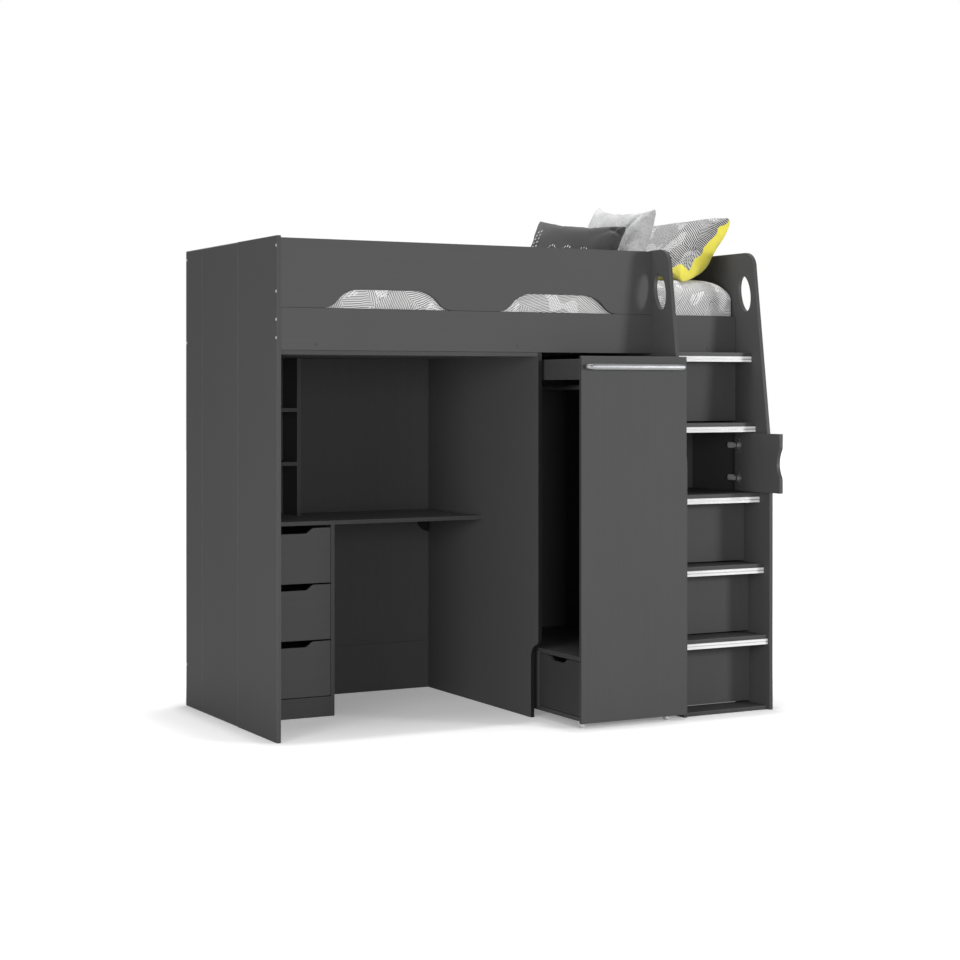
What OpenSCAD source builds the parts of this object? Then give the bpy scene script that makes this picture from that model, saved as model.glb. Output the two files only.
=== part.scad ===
// High sleeper: a loft bed with a desk, a bookshelf tower, a pull-out wardrobe and a stair unit.
// Bed coordinates: x runs from the foot end to the head end, y from the front rail to the wall.

/* [Boards and bays] */
// Thickness of the melamine boards
board = 15; // [12:1:20]
// Clear width of the desk bay
desk_bay = 1033; // [900:1:1200]
// Clear width of the wardrobe bay
wardrobe_bay = 487; // [440:1:600]
// Clear width between the stair panels
stair_bay = 380; // [340:1:480]
// Depth over the front and back rails
bed_depth = 930; // [850:1:1100]
// Height of the foot end boards over the guard
foot_over_guard = 7; // [0:1:60]
// Height of the head end and stair boards over the guard
head_over_guard = 4; // [0:1:60]
// Width of the front board of each end
end_front_w = 376; // [300:1:420]
// Width of the middle board of each end
end_middle_w = 374; // [300:1:420]

/* [Bed deck] */
// Height of the lower edge of the side rails
rail_z = 1370; // [1250:1:1450]
// Height of a side rail board
rail_h = 150; // [120:1:180]
// Height of a guard board
guard_h = 243; // [200:1:260]
// Width of a guard arch between its tips
arch_w = 512; // [400:1:540]
// Width of the flat top of an arch
arch_flat = 225; // [180:1:300]
// Height of an arch
arch_h = 68; // [50:1:90]
// Radius of the lower curves of an arch
arch_r = 70; // [40:1:90]
// Distance between the two arch centres
arch_pitch = 704; // [600:1:760]
// Set-back of the board under the bed behind the rail
under_setback = 3; // [0:1:30]
// Height of the cleats that carry the slats
cleat_h = 25; // [20:1:40]
// Width of the cleats
cleat_w = 22; // [18:1:40]
// Number of slats
slat_n = 14; // [10:1:16]
// Width of a slat
slat_w = 70; // [50:1:90]
// Thickness of a slat
slat_t = 15; // [12:1:20]

/* [Bedding] */
// Thickness of the mattress
mattress_t = 170; // [120:1:200]
// Corner radius of the mattress at its lower edge, seen from above
mattress_corner = 40; // [20:1:80]
// Rounding of the mattress's upper edges
mattress_edge = 14; // [6:1:30]
// Gap between the mattress and a side rail
mattress_side_gap = 10; // [8:1:30]
// Gap between the mattress and an end
mattress_end_gap = 20; // [12:1:40]
// Thickness of the quilt on top of the mattress
quilt_t = 82; // [50:1:110]
// Drop of the quilt below the mattress top
quilt_drop = 130; // [60:1:150]
// Radius of the quilt's upper edges
quilt_r = 78; // [40:1:90]
// Corner radius of the quilt at its hem, seen from above
quilt_corner = 14; // [10:1:60]
// Rise of the quilt's crown
quilt_crown = 6; // [2:1:15]
// Clearance of a soft piece from its neighbours
soft_gap = 0.5; // [0.3:0.1:2]
// Width of the patterned pillow
pillow_w = 600; // [500:1:700]
// Height of the patterned pillow
pillow_h = 345; // [300:1:380]
// Thickness of the patterned pillow at its crown
pillow_t = 120; // [80:1:150]
// Width of the grey cushion
grey_w = 450; // [380:1:600]
// Height of the grey cushion
grey_h = 298; // [240:1:360]
// Thickness of the grey cushion at its crown
grey_t = 120; // [80:1:150]
// Distance of the grey cushion's middle from the head panel
grey_from_head = 372; // [300:1:450]
// Distance of the grey cushion's edge from the front rail
grey_from_rail = 60; // [20:1:150]
// Depth that the grey cushion's lowest corner settles over the quilt's round edge
grey_settle = 5.8; // [0:0.1:12]
// Width of the dark cushion
dark_w = 458; // [360:1:520]
// Height of the dark cushion
dark_h = 227; // [180:1:300]
// Thickness of the dark cushion at its crown
dark_t = 100; // [80:1:130]
// Width of the dark cushion's tapered rim
dark_rim = 40; // [20:1:60]
// Distance of the dark cushion's middle from the head panel
dark_from_head = 590; // [500:1:700]
// Distance of the dark cushion's edge from the front rail
dark_from_rail = 17; // [10:1:100]
// Depth that the dark cushion's lowest corner settles over the quilt's round edge
dark_settle = 10; // [0:0.1:16]

/* [Desk and bookshelf] */
// Height of the top of the desk
desk_h = 737; // [680:1:780]
// Depth of the desktop
desk_d = 475; // [400:1:560]
// Leg length of the corner bracket under the desktop
bracket_w = 60; // [40:1:90]
// Height of the corner bracket
bracket_h = 77; // [50:1:100]
// Outside width of the drawer unit, without the end board
unit_w = 399; // [340:1:460]
// Height of the plinth under the drawers
plinth_h = 60; // [40:1:90]
// Set-back of the plinth
plinth_setback = 1; // [0:1:30]
// Depth of the bookshelf
shelf_d = 148; // [120:1:220]
// Height of the lower board of the back wall
back_lower_h = 194; // [150:1:300]

/* [Drawers] */
// Gap between two drawer fronts
front_gap = 6; // [3:1:8]
// Gap under the lowest drawer front
front_low_gap = 3.5; // [2:0.5:8]
// Gap between the top drawer front and the desktop
front_top_gap = 10.5; // [4:0.5:14]
// Gap beside a drawer front
front_side_gap = 2; // [1:0.5:4]
// Depth of the pull cut-out in a drawer front
pull_h = 20; // [15:1:30]
// Width of the cut-out at the top edge
pull_w = 244; // [180:1:280]
// Width of the flat bottom of the cut-out
pull_flat = 172; // [120:1:200]
// Thickness of the sides of a drawer box
box_t = 12; // [9:1:15]
// Thickness of a drawer bottom
bottom_t = 4; // [3:1:8]
// Height of the sides of a desk drawer box
box_h = 150; // [110:1:170]
// Length of a desk drawer box
box_d = 420; // [350:1:440]
// Width left on each side for a runner
runner_w = 13; // [12:0.5:16]
// Height of a runner channel
runner_h = 36; // [30:1:45]
// Thickness of the runner steel
runner_t = 1.5; // [1:0.5:2]

/* [Wardrobe] */
// How far the wardrobe is pulled out at rest
pulled = 260; // [240:1:330]
// Depth of the pull-out wardrobe
wardrobe_d = 880; // [760:1:900]
// Gap between the wardrobe and the side panel on its left
wardrobe_left_gap = 16; // [10:1:30]
// Height of the runner that guides the wardrobe along the stair partition
guide_z = 150; // [60:1:600]
// Length of the slider in that runner
guide_l = 400; // [300:1:500]
// Height of the lower edge of the wardrobe front
front_z = 19; // [15:1:25]
// Gap between the wardrobe front and the rail above it
front_rail_gap = 16; // [8:1:30]
// Gap between the top board of the wardrobe and the rail above it
top_gap = 27; // [20:1:45]
// Height of the rail under the left edge of the top board
top_rail_h = 60; // [40:1:90]
// Height of the underside of the base board
base_z = 27; // [26:1:40]
// Height of the top of the shelf over the base drawer
base_shelf_z = 260; // [200:1:300]
// Width of the base drawer opening along the wardrobe's depth
base_drawer_w = 295; // [260:1:298]
// Height of the sides of the base drawer box
base_box_h = 140; // [100:1:150]
// Length of the base drawer box
base_box_d = 400; // [300:1:420]
// Height of the centre of the hanging rail
hang_z = 1240; // [1150:1:1250]
// Diameter of the hanging rail
hang_dia = 20; // [16:1:28]
// Depth of the notch in the side panel that lets the base drawer out
notch_d = 56; // [54:1:80]
// Height of the straight part of the notch
notch_h = 228; // [200:1:300]
// Height of the curve over the notch
notch_curve = 69; // [60:1:90]
// Radius of the lower bend of the notch
notch_r = 48; // [20:1:52]
// Length of the handle over its ends
handle_l = 436; // [300:1:450]
// Height of the handle bar
handle_h = 24; // [16:1:30]
// Thickness of the handle bar
handle_t = 9; // [6:1:12]
// Stand-off of the handle bar's front from the wardrobe front
handle_out = 32; // [28:1:45]
// Distance of the handle's centre below the top of the wardrobe front
handle_drop = 39.5; // [30:0.5:60]
// Diameter of a castor wheel
wheel_dia = 24; // [20:1:24]
// Width of a castor wheel
wheel_w = 14; // [8:1:14]
// Diameter of a castor pin
castor_pin = 4; // [3:0.5:6]
// Distance of the front castors behind the wardrobe front's back face
castor_front = 14; // [14:1:30]
// Distance of the left castors from the wardrobe's left face
castor_left = 17; // [16:1:40]
// Distance of the right castors from the wardrobe's right face
castor_right = 73; // [20:1:100]

/* [Stairs] */
// Reach of the stair panels in front of the rail
stair_reach = 224; // [200:1:260]
// Height at which the front edge of a stair panel starts to lean back
lean_z = 950; // [700:1:1000]
// Reach of the leaning edge at the top of the rounding
lean_top = 121; // [110:1:170]
// Radius of the rounded top front corner
corner_r = 62; // [40:1:80]
// Height of the top of the highest tread
tread_z = 1375; // [1372:1:1400]
// Rise from tread to tread
rise = 272; // [250:1:272]
// Reach of the highest tread
tread_reach = 105; // [90:1:120]
// Extra reach of each tread below
tread_step = 26.5; // [15:0.5:26.5]
// Visible height of an aluminium nosing
nosing_h = 21; // [16:1:26]
// Width of the oval hand hole
oval_w = 75; // [50:1:85]
// Height of the oval hand hole
oval_h = 142; // [90:1:150]
// Depth of the hand hole's middle below the top of the stair panel
oval_drop = 159.5; // [120:0.5:200]
// Gap under each riser
riser_gap = 5; // [2:1:10]
// Depth of the cupboard behind the rail plane
cupboard_d = 300; // [200:1:400]
// Width of the cupboard door
door_w = 292; // [260:1:320]
// Set-back of the closed door's front face in front of the rail plane
door_y = 30; // [25:1:50]
// Depth of the wave in the free edge of the door
wave_d = 18; // [10:1:30]
// Length of the wave
wave_l = 128; // [80:1:160]
// Radius of the bends at the ends of the wave
wave_r = 28; // [10:1:40]
// Diameter of a hinge cup
cup_dia = 35; // [26:1:35]
// Diameter of a hinge pin
hinge_pin = 3; // [2.5:0.5:4]
// Height of a hinge arm
hinge_arm_h = 14; // [10:1:18]
// Distance of each hinge from the middle of the door
hinge_off = 64; // [50:1:80]

/* [Hidden] */
$fn = 48;

// Places along the bed
desk_x = board;
side_x = desk_x + desk_bay;
bay_x = side_x + board;
part_x = bay_x + wardrobe_bay;
stair_x = part_x + board;
head_x = stair_x + stair_bay;
bed_length = head_x + board;

// Places across the bed
back_y = bed_depth - board;
end_back_y = end_front_w + end_middle_w;
desk_y = back_y - desk_d;
shelf_y = back_y - shelf_d;

// Heights
rail_top = rail_z + rail_h;
guard_top = rail_top + guard_h;
end_h = guard_top + foot_over_guard;
stair_h = guard_top + head_over_guard;
slat_z = rail_z + cleat_h;
mattress_z = slat_z + slat_t;
quilt_top = mattress_z + mattress_t + quilt_t;
under_z = rail_z - board;
desk_low = desk_h - board;
unit_base_z = plinth_h + board;

// Drawer fronts of the desk unit, counted from the top
front_pitch = (desk_low - unit_base_z - front_low_gap - front_top_gap + front_gap) / 3;
front_h = front_pitch - front_gap;
unit_side_x = desk_x + unit_w - board;
front_w = unit_side_x - desk_x - 2 * front_side_gap;
box_rise = 14;
running_gap = 0.8;

// Wardrobe places, at rest
wr_x = bay_x + wardrobe_left_gap;
wr_right = part_x - runner_w;
wr_side_x = wr_right - board;
wr_front = -pulled;
wr_in = wr_front + board;
wr_back = wr_front + wardrobe_d - board;
wr_top = rail_z - top_gap;
front_top = rail_z - front_rail_gap;
base_top = base_z + board;
shelf_low = base_shelf_z - board;
divider_y = wr_in + base_drawer_w;
drawer_gap_z = 3;
base_front_low = base_top + drawer_gap_z;
base_front_top = shelf_low - drawer_gap_z;
castor_xs = [wr_x + castor_left, wr_right - castor_right];
castor_ys = [wr_in + castor_front, wr_back - castor_front];
wheel_r = wheel_dia / 2;
pin_gap = 0.05;

// Stair places
cup_wall = 1;
door_t = board;
door_gap = 3;
axis_inset = 8.5;
axis_x = head_x - axis_inset;
axis_y = -door_y + axis_inset - door_gap;
door_x1 = head_x - door_gap;
door_x0 = door_x1 - door_w;
door_low = tread_z - 2 * rise + 4;
door_high = tread_z - rise - board - nosing_h - 5;
door_mid = (door_low + door_high) / 2;
door_reach = door_w - (door_x1 - axis_x) - axis_y;
riser_ys = [0, -57, -87, -94];
riser_treads = [1, 3, 4, 5];
oval_y = -59;
oval_z = stair_h - oval_drop;
oval_lean = -13;

melamine = "#4b4c4e";
steel = "#c9cbcd";

function tread_top(k) = tread_z - (k - 1) * rise;
function tread_front(k) = -tread_reach - (k - 1) * tread_step;
function lean_y(z) = -stair_reach + (stair_reach - lean_top) * (z - lean_z)
    / (stair_h - corner_r - lean_z);

// Moves the bed coordinates so that the origin is the middle of the footprint
module in_frame() {
    translate([-bed_length / 2, -(bed_depth - door_reach) / 2, 0]) children();
}

// Box between two corners
module span(a, b) {
    translate(a) cube(b - a);
}

// Plate in the plane of the end boards, drawn as [y, z] points
module end_plate(x, thick = board) {
    translate([x, 0, 0]) rotate([90, 0, 90]) linear_extrude(thick) children();
}

// Plate in the plane of the front, drawn as [x, z] points, from y to y + thick
module front_plate(y, thick = board) {
    translate([0, y + thick, 0]) rotate([90, 0, 0]) linear_extrude(thick) children();
}

// Points of a smooth S from a to b, level at both ends
function s_curve(a, b, n = 10) = [for (i = [0:n])
    [a[0] + (b[0] - a[0]) * i / n, a[1] + (b[1] - a[1]) * (1 - cos(180 * i / n)) / 2]];

// Points of an S of two arcs from a to b, level at both ends, with radius r at a
function two_arcs(a, b, r, order = 1, n = 8) = let (
    w = b[0] - a[0], h = b[1] - a[1], turn = 2 * atan(abs(h / w)), rest = abs(w) / sin(turn) - r,
    pts = concat(
        [for (i = [0:n]) let (t = turn * i / n)
            [a[0] + sign(w) * r * sin(t), a[1] + sign(h) * r * (1 - cos(t))]],
        [for (i = [1:n]) let (t = turn * (1 - i / n))
            [b[0] - sign(w) * rest * sin(t), b[1] - sign(h) * rest * (1 - cos(t))]]))
    order > 0 ? pts : [for (i = [len(pts) - 1:-1:0]) pts[i]];

// Outline of a cut-out with a flat side and S-shaped ends, open at level z0
function cutout(c, wide, flat, z0, z1, over) = concat(
    [[c - wide / 2, z0 - over]],
    s_curve([c - wide / 2, z0], [c - flat / 2, z1]),
    s_curve([c + flat / 2, z1], [c + wide / 2, z0]),
    [[c + wide / 2, z0 - over]]);

// Front edge of a stair panel from the floor to the start of its top edge
function stair_edge() = concat(
    [[-stair_reach, 0], [-stair_reach, lean_z]],
    [for (i = [0:12]) let (a = 180 - 7.5 * i)
        [-lean_top + corner_r + corner_r * cos(a), stair_h - corner_r + corner_r * sin(a)]]);

module oval_outline() {
    translate([oval_y, oval_z]) rotate(oval_lean)
        polygon([for (i = [0:47]) [oval_w / 2 * cos(7.5 * i), oval_h / 2 * sin(7.5 * i)]]);
}

// Ends of the bed
module end_board(x, y0, y1, high) {
    color(melamine) span([x, y0, 0], [x + board, y1, high]);
}
module left_end_front_board() end_board(0, 0, end_front_w, end_h);
module left_end_middle_board() end_board(0, end_front_w, end_back_y, end_h);
module left_end_back_board() end_board(0, end_back_y, bed_depth, end_h);
module right_end_middle_board() end_board(head_x, end_front_w, end_back_y, stair_h);
module right_end_back_board() end_board(head_x, end_back_y, bed_depth, stair_h);
module right_end_front_board() {
    color(melamine) end_plate(head_x) difference() {
        polygon(concat(stair_edge(), [[end_front_w, stair_h], [end_front_w, 0]]));
        oval_outline();
    }
}

// Rails and guards
module rail_board(y, z, high, x1) {
    color(melamine) span([desk_x, y, z], [x1, y + board, z + high]);
}
module front_side_rail() rail_board(0, rail_z, rail_h, head_x);
module back_side_rail() rail_board(back_y, rail_z, rail_h, head_x);
module back_guard() rail_board(back_y, rail_top, guard_h, head_x);
module front_guard() {
    mid = (desk_x + part_x) / 2;
    over = 5;
    color(melamine) front_plate(0) difference() {
        translate([desk_x, rail_top]) square([part_x - desk_x, guard_h]);
        for (s = [-1, 1]) translate([mid + s * arch_pitch / 2, rail_top]) polygon(concat(
            [[-arch_w / 2, -over]],
            two_arcs([-arch_w / 2, 0], [-arch_flat / 2, arch_h], arch_r),
            [for (p = two_arcs([-arch_w / 2, 0], [-arch_flat / 2, arch_h], arch_r, -1)) [-p[0], p[1]]],
            [[arch_w / 2, -over]]));
    }
}

// Deck
module deck_cleats() {
    color("#8d8f91") {
        span([desk_x, board, rail_z], [head_x, board + cleat_w, slat_z]);
        span([desk_x, back_y - cleat_w, rail_z], [head_x, back_y, slat_z]);
        span([desk_x, board + cleat_w, rail_z], [desk_x + cleat_w, back_y - cleat_w, slat_z]);
        span([head_x - cleat_w, board + cleat_w, rail_z], [head_x, back_y - cleat_w, slat_z]);
    }
}
module bed_slats() {
    room = head_x - desk_x - slat_w;
    color("#d9bf8f") for (i = [0:slat_n - 1]) {
        x = desk_x + room * (i + 0.5) / slat_n;
        span([x, board, slat_z], [x + slat_w, back_y, mattress_z]);
    }
}
module under_bed_board() {
    color(melamine) span([desk_x, under_setback, under_z], [side_x, back_y, rail_z]);
}

// Fixed uprights and walls
module wardrobe_side_panel() {
    color(melamine) end_plate(side_x) polygon(concat(
        [[back_y, 0], [notch_d, 0]],
        [for (p = two_arcs([notch_h, notch_d], [notch_h + notch_curve, 0], notch_r)) [p[1], p[0]]],
        [[0, rail_z], [back_y, rail_z]]));
}
module stair_partition() {
    color(melamine) span([part_x, 0, 0], [stair_x, back_y, rail_z]);
}
module left_stair_panel() {
    color(melamine) end_plate(part_x) difference() {
        polygon(concat(stair_edge(), [[board, stair_h], [board, rail_top], [0, rail_top], [0, 0]]));
        oval_outline();
    }
}
module back_wall_lower() rail_board(back_y, 0, back_lower_h, head_x);
module back_wall_upper() rail_board(back_y, back_lower_h, rail_z - back_lower_h, head_x);

// Desk and bookshelf
module desktop() {
    color(melamine) span([desk_x, desk_y, desk_low], [side_x, back_y, desk_h]);
}
module desk_bracket() {
    color("#2c2d2f") front_plate(back_y - board) polygon(concat(
        [[side_x, desk_low], [side_x - bracket_w, desk_low]],
        [for (i = [0:8]) [side_x - bracket_w * cos(11.25 * i), desk_low - bracket_h * sin(11.25 * i)]]));
}
shelf_room = (under_z - desk_h - 2 * board) / 3;
module bookshelf_upright() {
    color(melamine) span([unit_side_x, shelf_y, desk_h], [unit_side_x + board, back_y, under_z]);
}
module bookshelf_shelves() {
    color(melamine) for (k = [1, 2]) {
        z = desk_h + k * shelf_room + (k - 1) * board;
        span([desk_x, shelf_y, z], [unit_side_x, back_y, z + board]);
    }
}
module drawer_unit_side() {
    color(melamine) span([unit_side_x, desk_y, 0], [unit_side_x + board, back_y, desk_low]);
}
module drawer_unit_base() {
    color(melamine) {
        span([desk_x, desk_y, plinth_h], [unit_side_x, back_y, unit_base_z]);
        span([desk_x, desk_y + plinth_setback, 0],
            [unit_side_x, desk_y + plinth_setback + board, plinth_h]);
    }
}

// Runner channel that opens towards +x, its web on the plane x = 0, running along y
module channel(long) {
    deep = runner_w - running_gap;
    rotate([-90, 0, 0]) linear_extrude(long) difference() {
        translate([0, -runner_h / 2]) square([deep, runner_h]);
        translate([runner_t, -runner_h / 2 + runner_t]) square([deep, runner_h - 2 * runner_t]);
    }
}
// Rail of a drawer box that runs in the channel
module slider(long) {
    high = runner_h - 2 * runner_t - 2 * running_gap;
    translate([runner_t + running_gap, 0, -high / 2])
        cube([runner_w - runner_t - running_gap, long, high]);
}

// Places the fixed or moving runner pair of a bay between x0 and x1
module runner_pair(x0, x1) {
    translate([x0, 0, 0]) children();
    translate([x1, 0, 0]) mirror([1, 0, 0]) children();
}

function front_low(k) = unit_base_z + front_low_gap + (3 - k) * front_pitch;
function runner_z(k) = front_low(k) + box_rise + runner_h;

guide_front = 2;
module fixed_channels() {
    color(steel) for (k = [1:3])
        translate([0, desk_y + board, runner_z(k)])
            runner_pair(desk_x, unit_side_x) channel(box_d);
    color(steel) translate([part_x, guide_front, guide_z]) mirror([1, 0, 0])
        channel(wr_back + pulled - guide_front);
}
module desk_drawer_front(k) {
    x0 = desk_x + front_side_gap;
    top = front_low(k) + front_h;
    color(melamine) front_plate(desk_y) difference() {
        translate([x0, front_low(k)]) square([front_w, front_h]);
        polygon(cutout(x0 + front_w / 2, pull_w, pull_flat, top, top - pull_h, -1));
    }
}
// Drawer box of outer size w by l by h with its lower left front corner at the origin
module drawer_box(w, l, h) {
    span([0, 0, 0], [box_t, l, h]);
    span([w - box_t, 0, 0], [w, l, h]);
    span([box_t, l - box_t, 0], [w - box_t, l, h]);
    span([box_t, 0, box_t], [w - box_t, l - box_t, box_t + bottom_t]);
}
module desk_drawer_box(k) {
    x0 = desk_x + runner_w;
    color("#5a5b5d") translate([x0, desk_y + board, front_low(k) + box_rise])
        drawer_box(unit_side_x - runner_w - x0, box_d, box_h);
    color(steel) translate([0, desk_y + board, runner_z(k)])
        runner_pair(desk_x, unit_side_x) slider(box_d);
}

// Stair unit
module stair_board(y0, y1, z0, z1) {
    color(melamine) span([stair_x, y0, z0], [head_x, y1, z1]);
}
function tread_back(k) = k == 1 ? 0 : k < 4 ? cupboard_d : riser_ys[k - 3] + board;
module stair_treads() {
    for (k = [1:5])
        stair_board(tread_front(k), tread_back(k), tread_top(k) - board, tread_top(k));
    stair_board(tread_front(5), riser_ys[3] + board, 0, board);
}
module tread_nosings() {
    leg = 2.5;
    lip = 1.5;
    foot = 24;
    for (k = [1:5])
        color("#e3e4e6") translate([stair_x, tread_front(k), tread_top(k) - board])
            rotate([90, 0, 90]) linear_extrude(stair_bay) polygon([
                [1, 0], [1, -lip], [0, -lip - 0.5], [0, -nosing_h * 0.45],
                [0.6, -nosing_h * 0.5], [0, -nosing_h * 0.55], [0, -nosing_h + 0.5],
                [0.5, -nosing_h], [leg, -nosing_h], [leg, -leg], [foot, -leg], [foot, 0]]);
}
module stair_risers() {
    for (i = [0:3]) {
        k = riser_treads[i];
        low = k == 5 ? board : tread_top(k + 1);
        high = k == 1 ? rail_z : tread_top(k) - board;
        stair_board(riser_ys[i], riser_ys[i] + board, low + riser_gap, high);
    }
}
module cupboard_panels() {
    stair_board(cupboard_d, cupboard_d + board, tread_top(3) - board, tread_top(2));
    color(melamine) span([stair_x, -door_y, tread_top(3)],
        [door_x0 - front_side_gap, -door_y + board, tread_top(2) - board]);
}

// Turns what is drawn for the closed door into the open place in which it rests
module door_open() {
    translate([axis_x, axis_y, 0]) rotate([0, 0, 90]) translate([-axis_x, -axis_y, 0]) children();
}
cup_x = door_x1 - cup_dia / 2 - 13;
cup_y = -door_y + door_t;
cup_deep = 11;
knuckle_r = hinge_pin / 2 + 2;
knuckle_gap = 0.5;
pin_seat = 7;
module cupboard_door() {
    slot_r = knuckle_r + knuckle_gap;
    slot_h = hinge_arm_h + 2 * running_gap;
    over = 1;
    color(melamine) door_open() difference() {
        front_plate(-door_y, door_t) polygon(concat(
            [[door_x1, door_low], [door_x1, door_high], [door_x0, door_high]],
            [for (s = [1, -1], p = two_arcs([wave_l / 2, 0], [0, wave_d], wave_r, s))
                [door_x0 + p[1], door_mid + s * p[0]]],
            [[door_x0, door_low]]));
        for (s = [-1, 1]) translate([0, 0, door_mid + s * hinge_off]) {
            translate([cup_x, cup_y - cup_deep, 0])
                rotate([-90, 0, 0]) cylinder(d = cup_dia, h = cup_deep + over);
            span([axis_x - slot_r, axis_y - slot_r, -slot_h / 2],
                [door_x1 + over, cup_y + over, slot_h / 2]);
            translate([axis_x, axis_y, -slot_h / 2 - pin_seat])
                cylinder(d = hinge_pin, h = slot_h + 2 * pin_seat);
        }
    }
}
// Cups in the door with their flanges, and the pins on which the door turns
module hinge_cups() {
    flange_h = 58;
    flange_w = 13;
    rim = 0.8;
    pin_h = hinge_arm_h + 2 * running_gap + 2 * pin_seat;
    color(steel) door_open() for (s = [-1, 1]) translate([0, 0, door_mid + s * hinge_off]) {
        translate([cup_x, cup_y, 0]) rotate([-90, 0, 0]) difference() {
            union() {
                translate([0, 0, -cup_deep]) cylinder(d = cup_dia, h = cup_deep);
                translate([-flange_w / 2, -flange_h / 2, 0]) cube([flange_w, flange_h, rim]);
            }
            translate([0, 0, -cup_deep + cup_wall])
                cylinder(d = cup_dia - 2 * cup_wall, h = cup_deep + rim);
        }
        translate([axis_x, axis_y, -pin_h / 2]) cylinder(d = hinge_pin, h = pin_h);
    }
}
// Plates on the end board with the arms that hold the pins
module hinge_arms() {
    plate_y = axis_y + 12.5;
    plate_t = 4.5;
    wing_h = 60;
    wing_w = 8;
    base_h = 22;
    base_l = 58;
    face = head_x - plate_t;
    color(steel) for (s = [-1, 1]) translate([0, 0, door_mid + s * hinge_off]) {
        span([face, plate_y, -wing_h / 2], [head_x, plate_y + wing_w, wing_h / 2]);
        span([face, plate_y, -base_h / 2], [head_x, plate_y + base_l, base_h / 2]);
        difference() {
            union() {
                translate([axis_x, axis_y, -hinge_arm_h / 2])
                    cylinder(r = knuckle_r, h = hinge_arm_h);
                span([axis_x - knuckle_r, axis_y, -hinge_arm_h / 2],
                    [axis_x + knuckle_r, plate_y + base_l - 8, hinge_arm_h / 2]);
                span([axis_x, plate_y, -hinge_arm_h / 2],
                    [face, plate_y + base_l - 8, hinge_arm_h / 2]);
            }
            translate([axis_x, axis_y, -hinge_arm_h])
                cylinder(d = hinge_pin + 2 * pin_gap, h = 2 * hinge_arm_h);
        }
    }
}

// Round caps over the assembly screws
module cap(out = 1.2, dia = 11) {
    cylinder(d1 = dia, d2 = dia - 2, h = out);
}
rail_cap_in = 134;
side_cap_in = 90;
rail_cap_up = 22;
module cover_caps() {
    rail_edge = 43;
    seam_up = 55;
    top_down = 28;
    low_cap = 162;
    front_zs = [rail_z + rail_edge, rail_top - rail_edge, rail_top + seam_up, guard_top - top_down];
    back_zs = [low_cap, rail_z + rail_edge, guard_top - top_down];
    color("#3c3d3f") {
        for (z = front_zs) translate([0, board / 2, z]) rotate([0, -90, 0]) cap();
        for (z = back_zs) translate([0, back_y + board / 2, z]) rotate([0, -90, 0]) cap();
        for (z = front_zs) translate([bed_length, board / 2, z]) rotate([0, 90, 0]) cap();
        for (z = back_zs)
            translate([bed_length, back_y + board / 2, z]) rotate([0, 90, 0]) cap();
        for (x = [desk_x + rail_cap_in, side_x - side_cap_in, head_x - rail_cap_in])
            translate([x, 0, rail_z + rail_cap_up]) rotate([90, 0, 0]) cap(0.8, 14);
    }
}

// Pull-out wardrobe
module wardrobe_front() {
    color(melamine) span([wr_x, wr_front, front_z], [wr_right, wr_in, front_top]);
}
module wardrobe_handle() {
    bend = 14;
    half = handle_l / 2 - handle_t / 2;
    reach = handle_out - handle_t / 2;
    color("#d5d6d8")
        translate([(wr_x + wr_right) / 2 - 3, wr_front, front_top - handle_drop]) {
            translate([-half + bend, -reach, 0]) rotate([90, 0, 90])
                linear_extrude(2 * half - 2 * bend) bar_section();
            for (s = [0, 1]) mirror([s, 0, 0]) {
                translate([half - bend, -reach + bend, 0]) rotate([0, 0, -90])
                    rotate_extrude(angle = 90) translate([bend, 0]) bar_section();
                translate([half, 0, 0]) rotate([90, 0, 0]) linear_extrude(reach - bend) bar_section();
            }
        }
}
// Flat oval section of the handle bar
module bar_section() {
    r = handle_t / 2;
    side = handle_h - handle_t;
    translate([-r, -side / 2]) square([handle_t, side]);
    for (s = [-1, 1]) translate([0, s * side / 2]) circle(r);
}
module wardrobe_top() {
    color(melamine) {
        span([wr_x, wr_in, wr_top - board], [wr_side_x, wr_back, wr_top]);
        span([wr_x, wr_in, wr_top - board - top_rail_h], [wr_x + board, wr_back, wr_top - board]);
    }
}
module wardrobe_right_side() {
    color(melamine) span([wr_side_x, wr_in, base_z], [wr_right, wr_back, wr_top]);
}
module wardrobe_back() {
    color(melamine) span([wr_x, wr_back, base_z], [wr_right, wr_back + board, wr_top]);
}
module wardrobe_shelf() {
    color(melamine) span([wr_x, wr_in, shelf_low], [wr_side_x, wr_back, base_shelf_z]);
}
module base_cabinet() {
    color(melamine) {
        span([wr_x, wr_in, base_z], [wr_side_x, wr_back, base_top]);
        span([wr_x + board, divider_y, base_top], [wr_side_x, divider_y + board, shelf_low]);
        span([wr_x, divider_y, base_top], [wr_x + board, wr_back, shelf_low]);
    }
}

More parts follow.
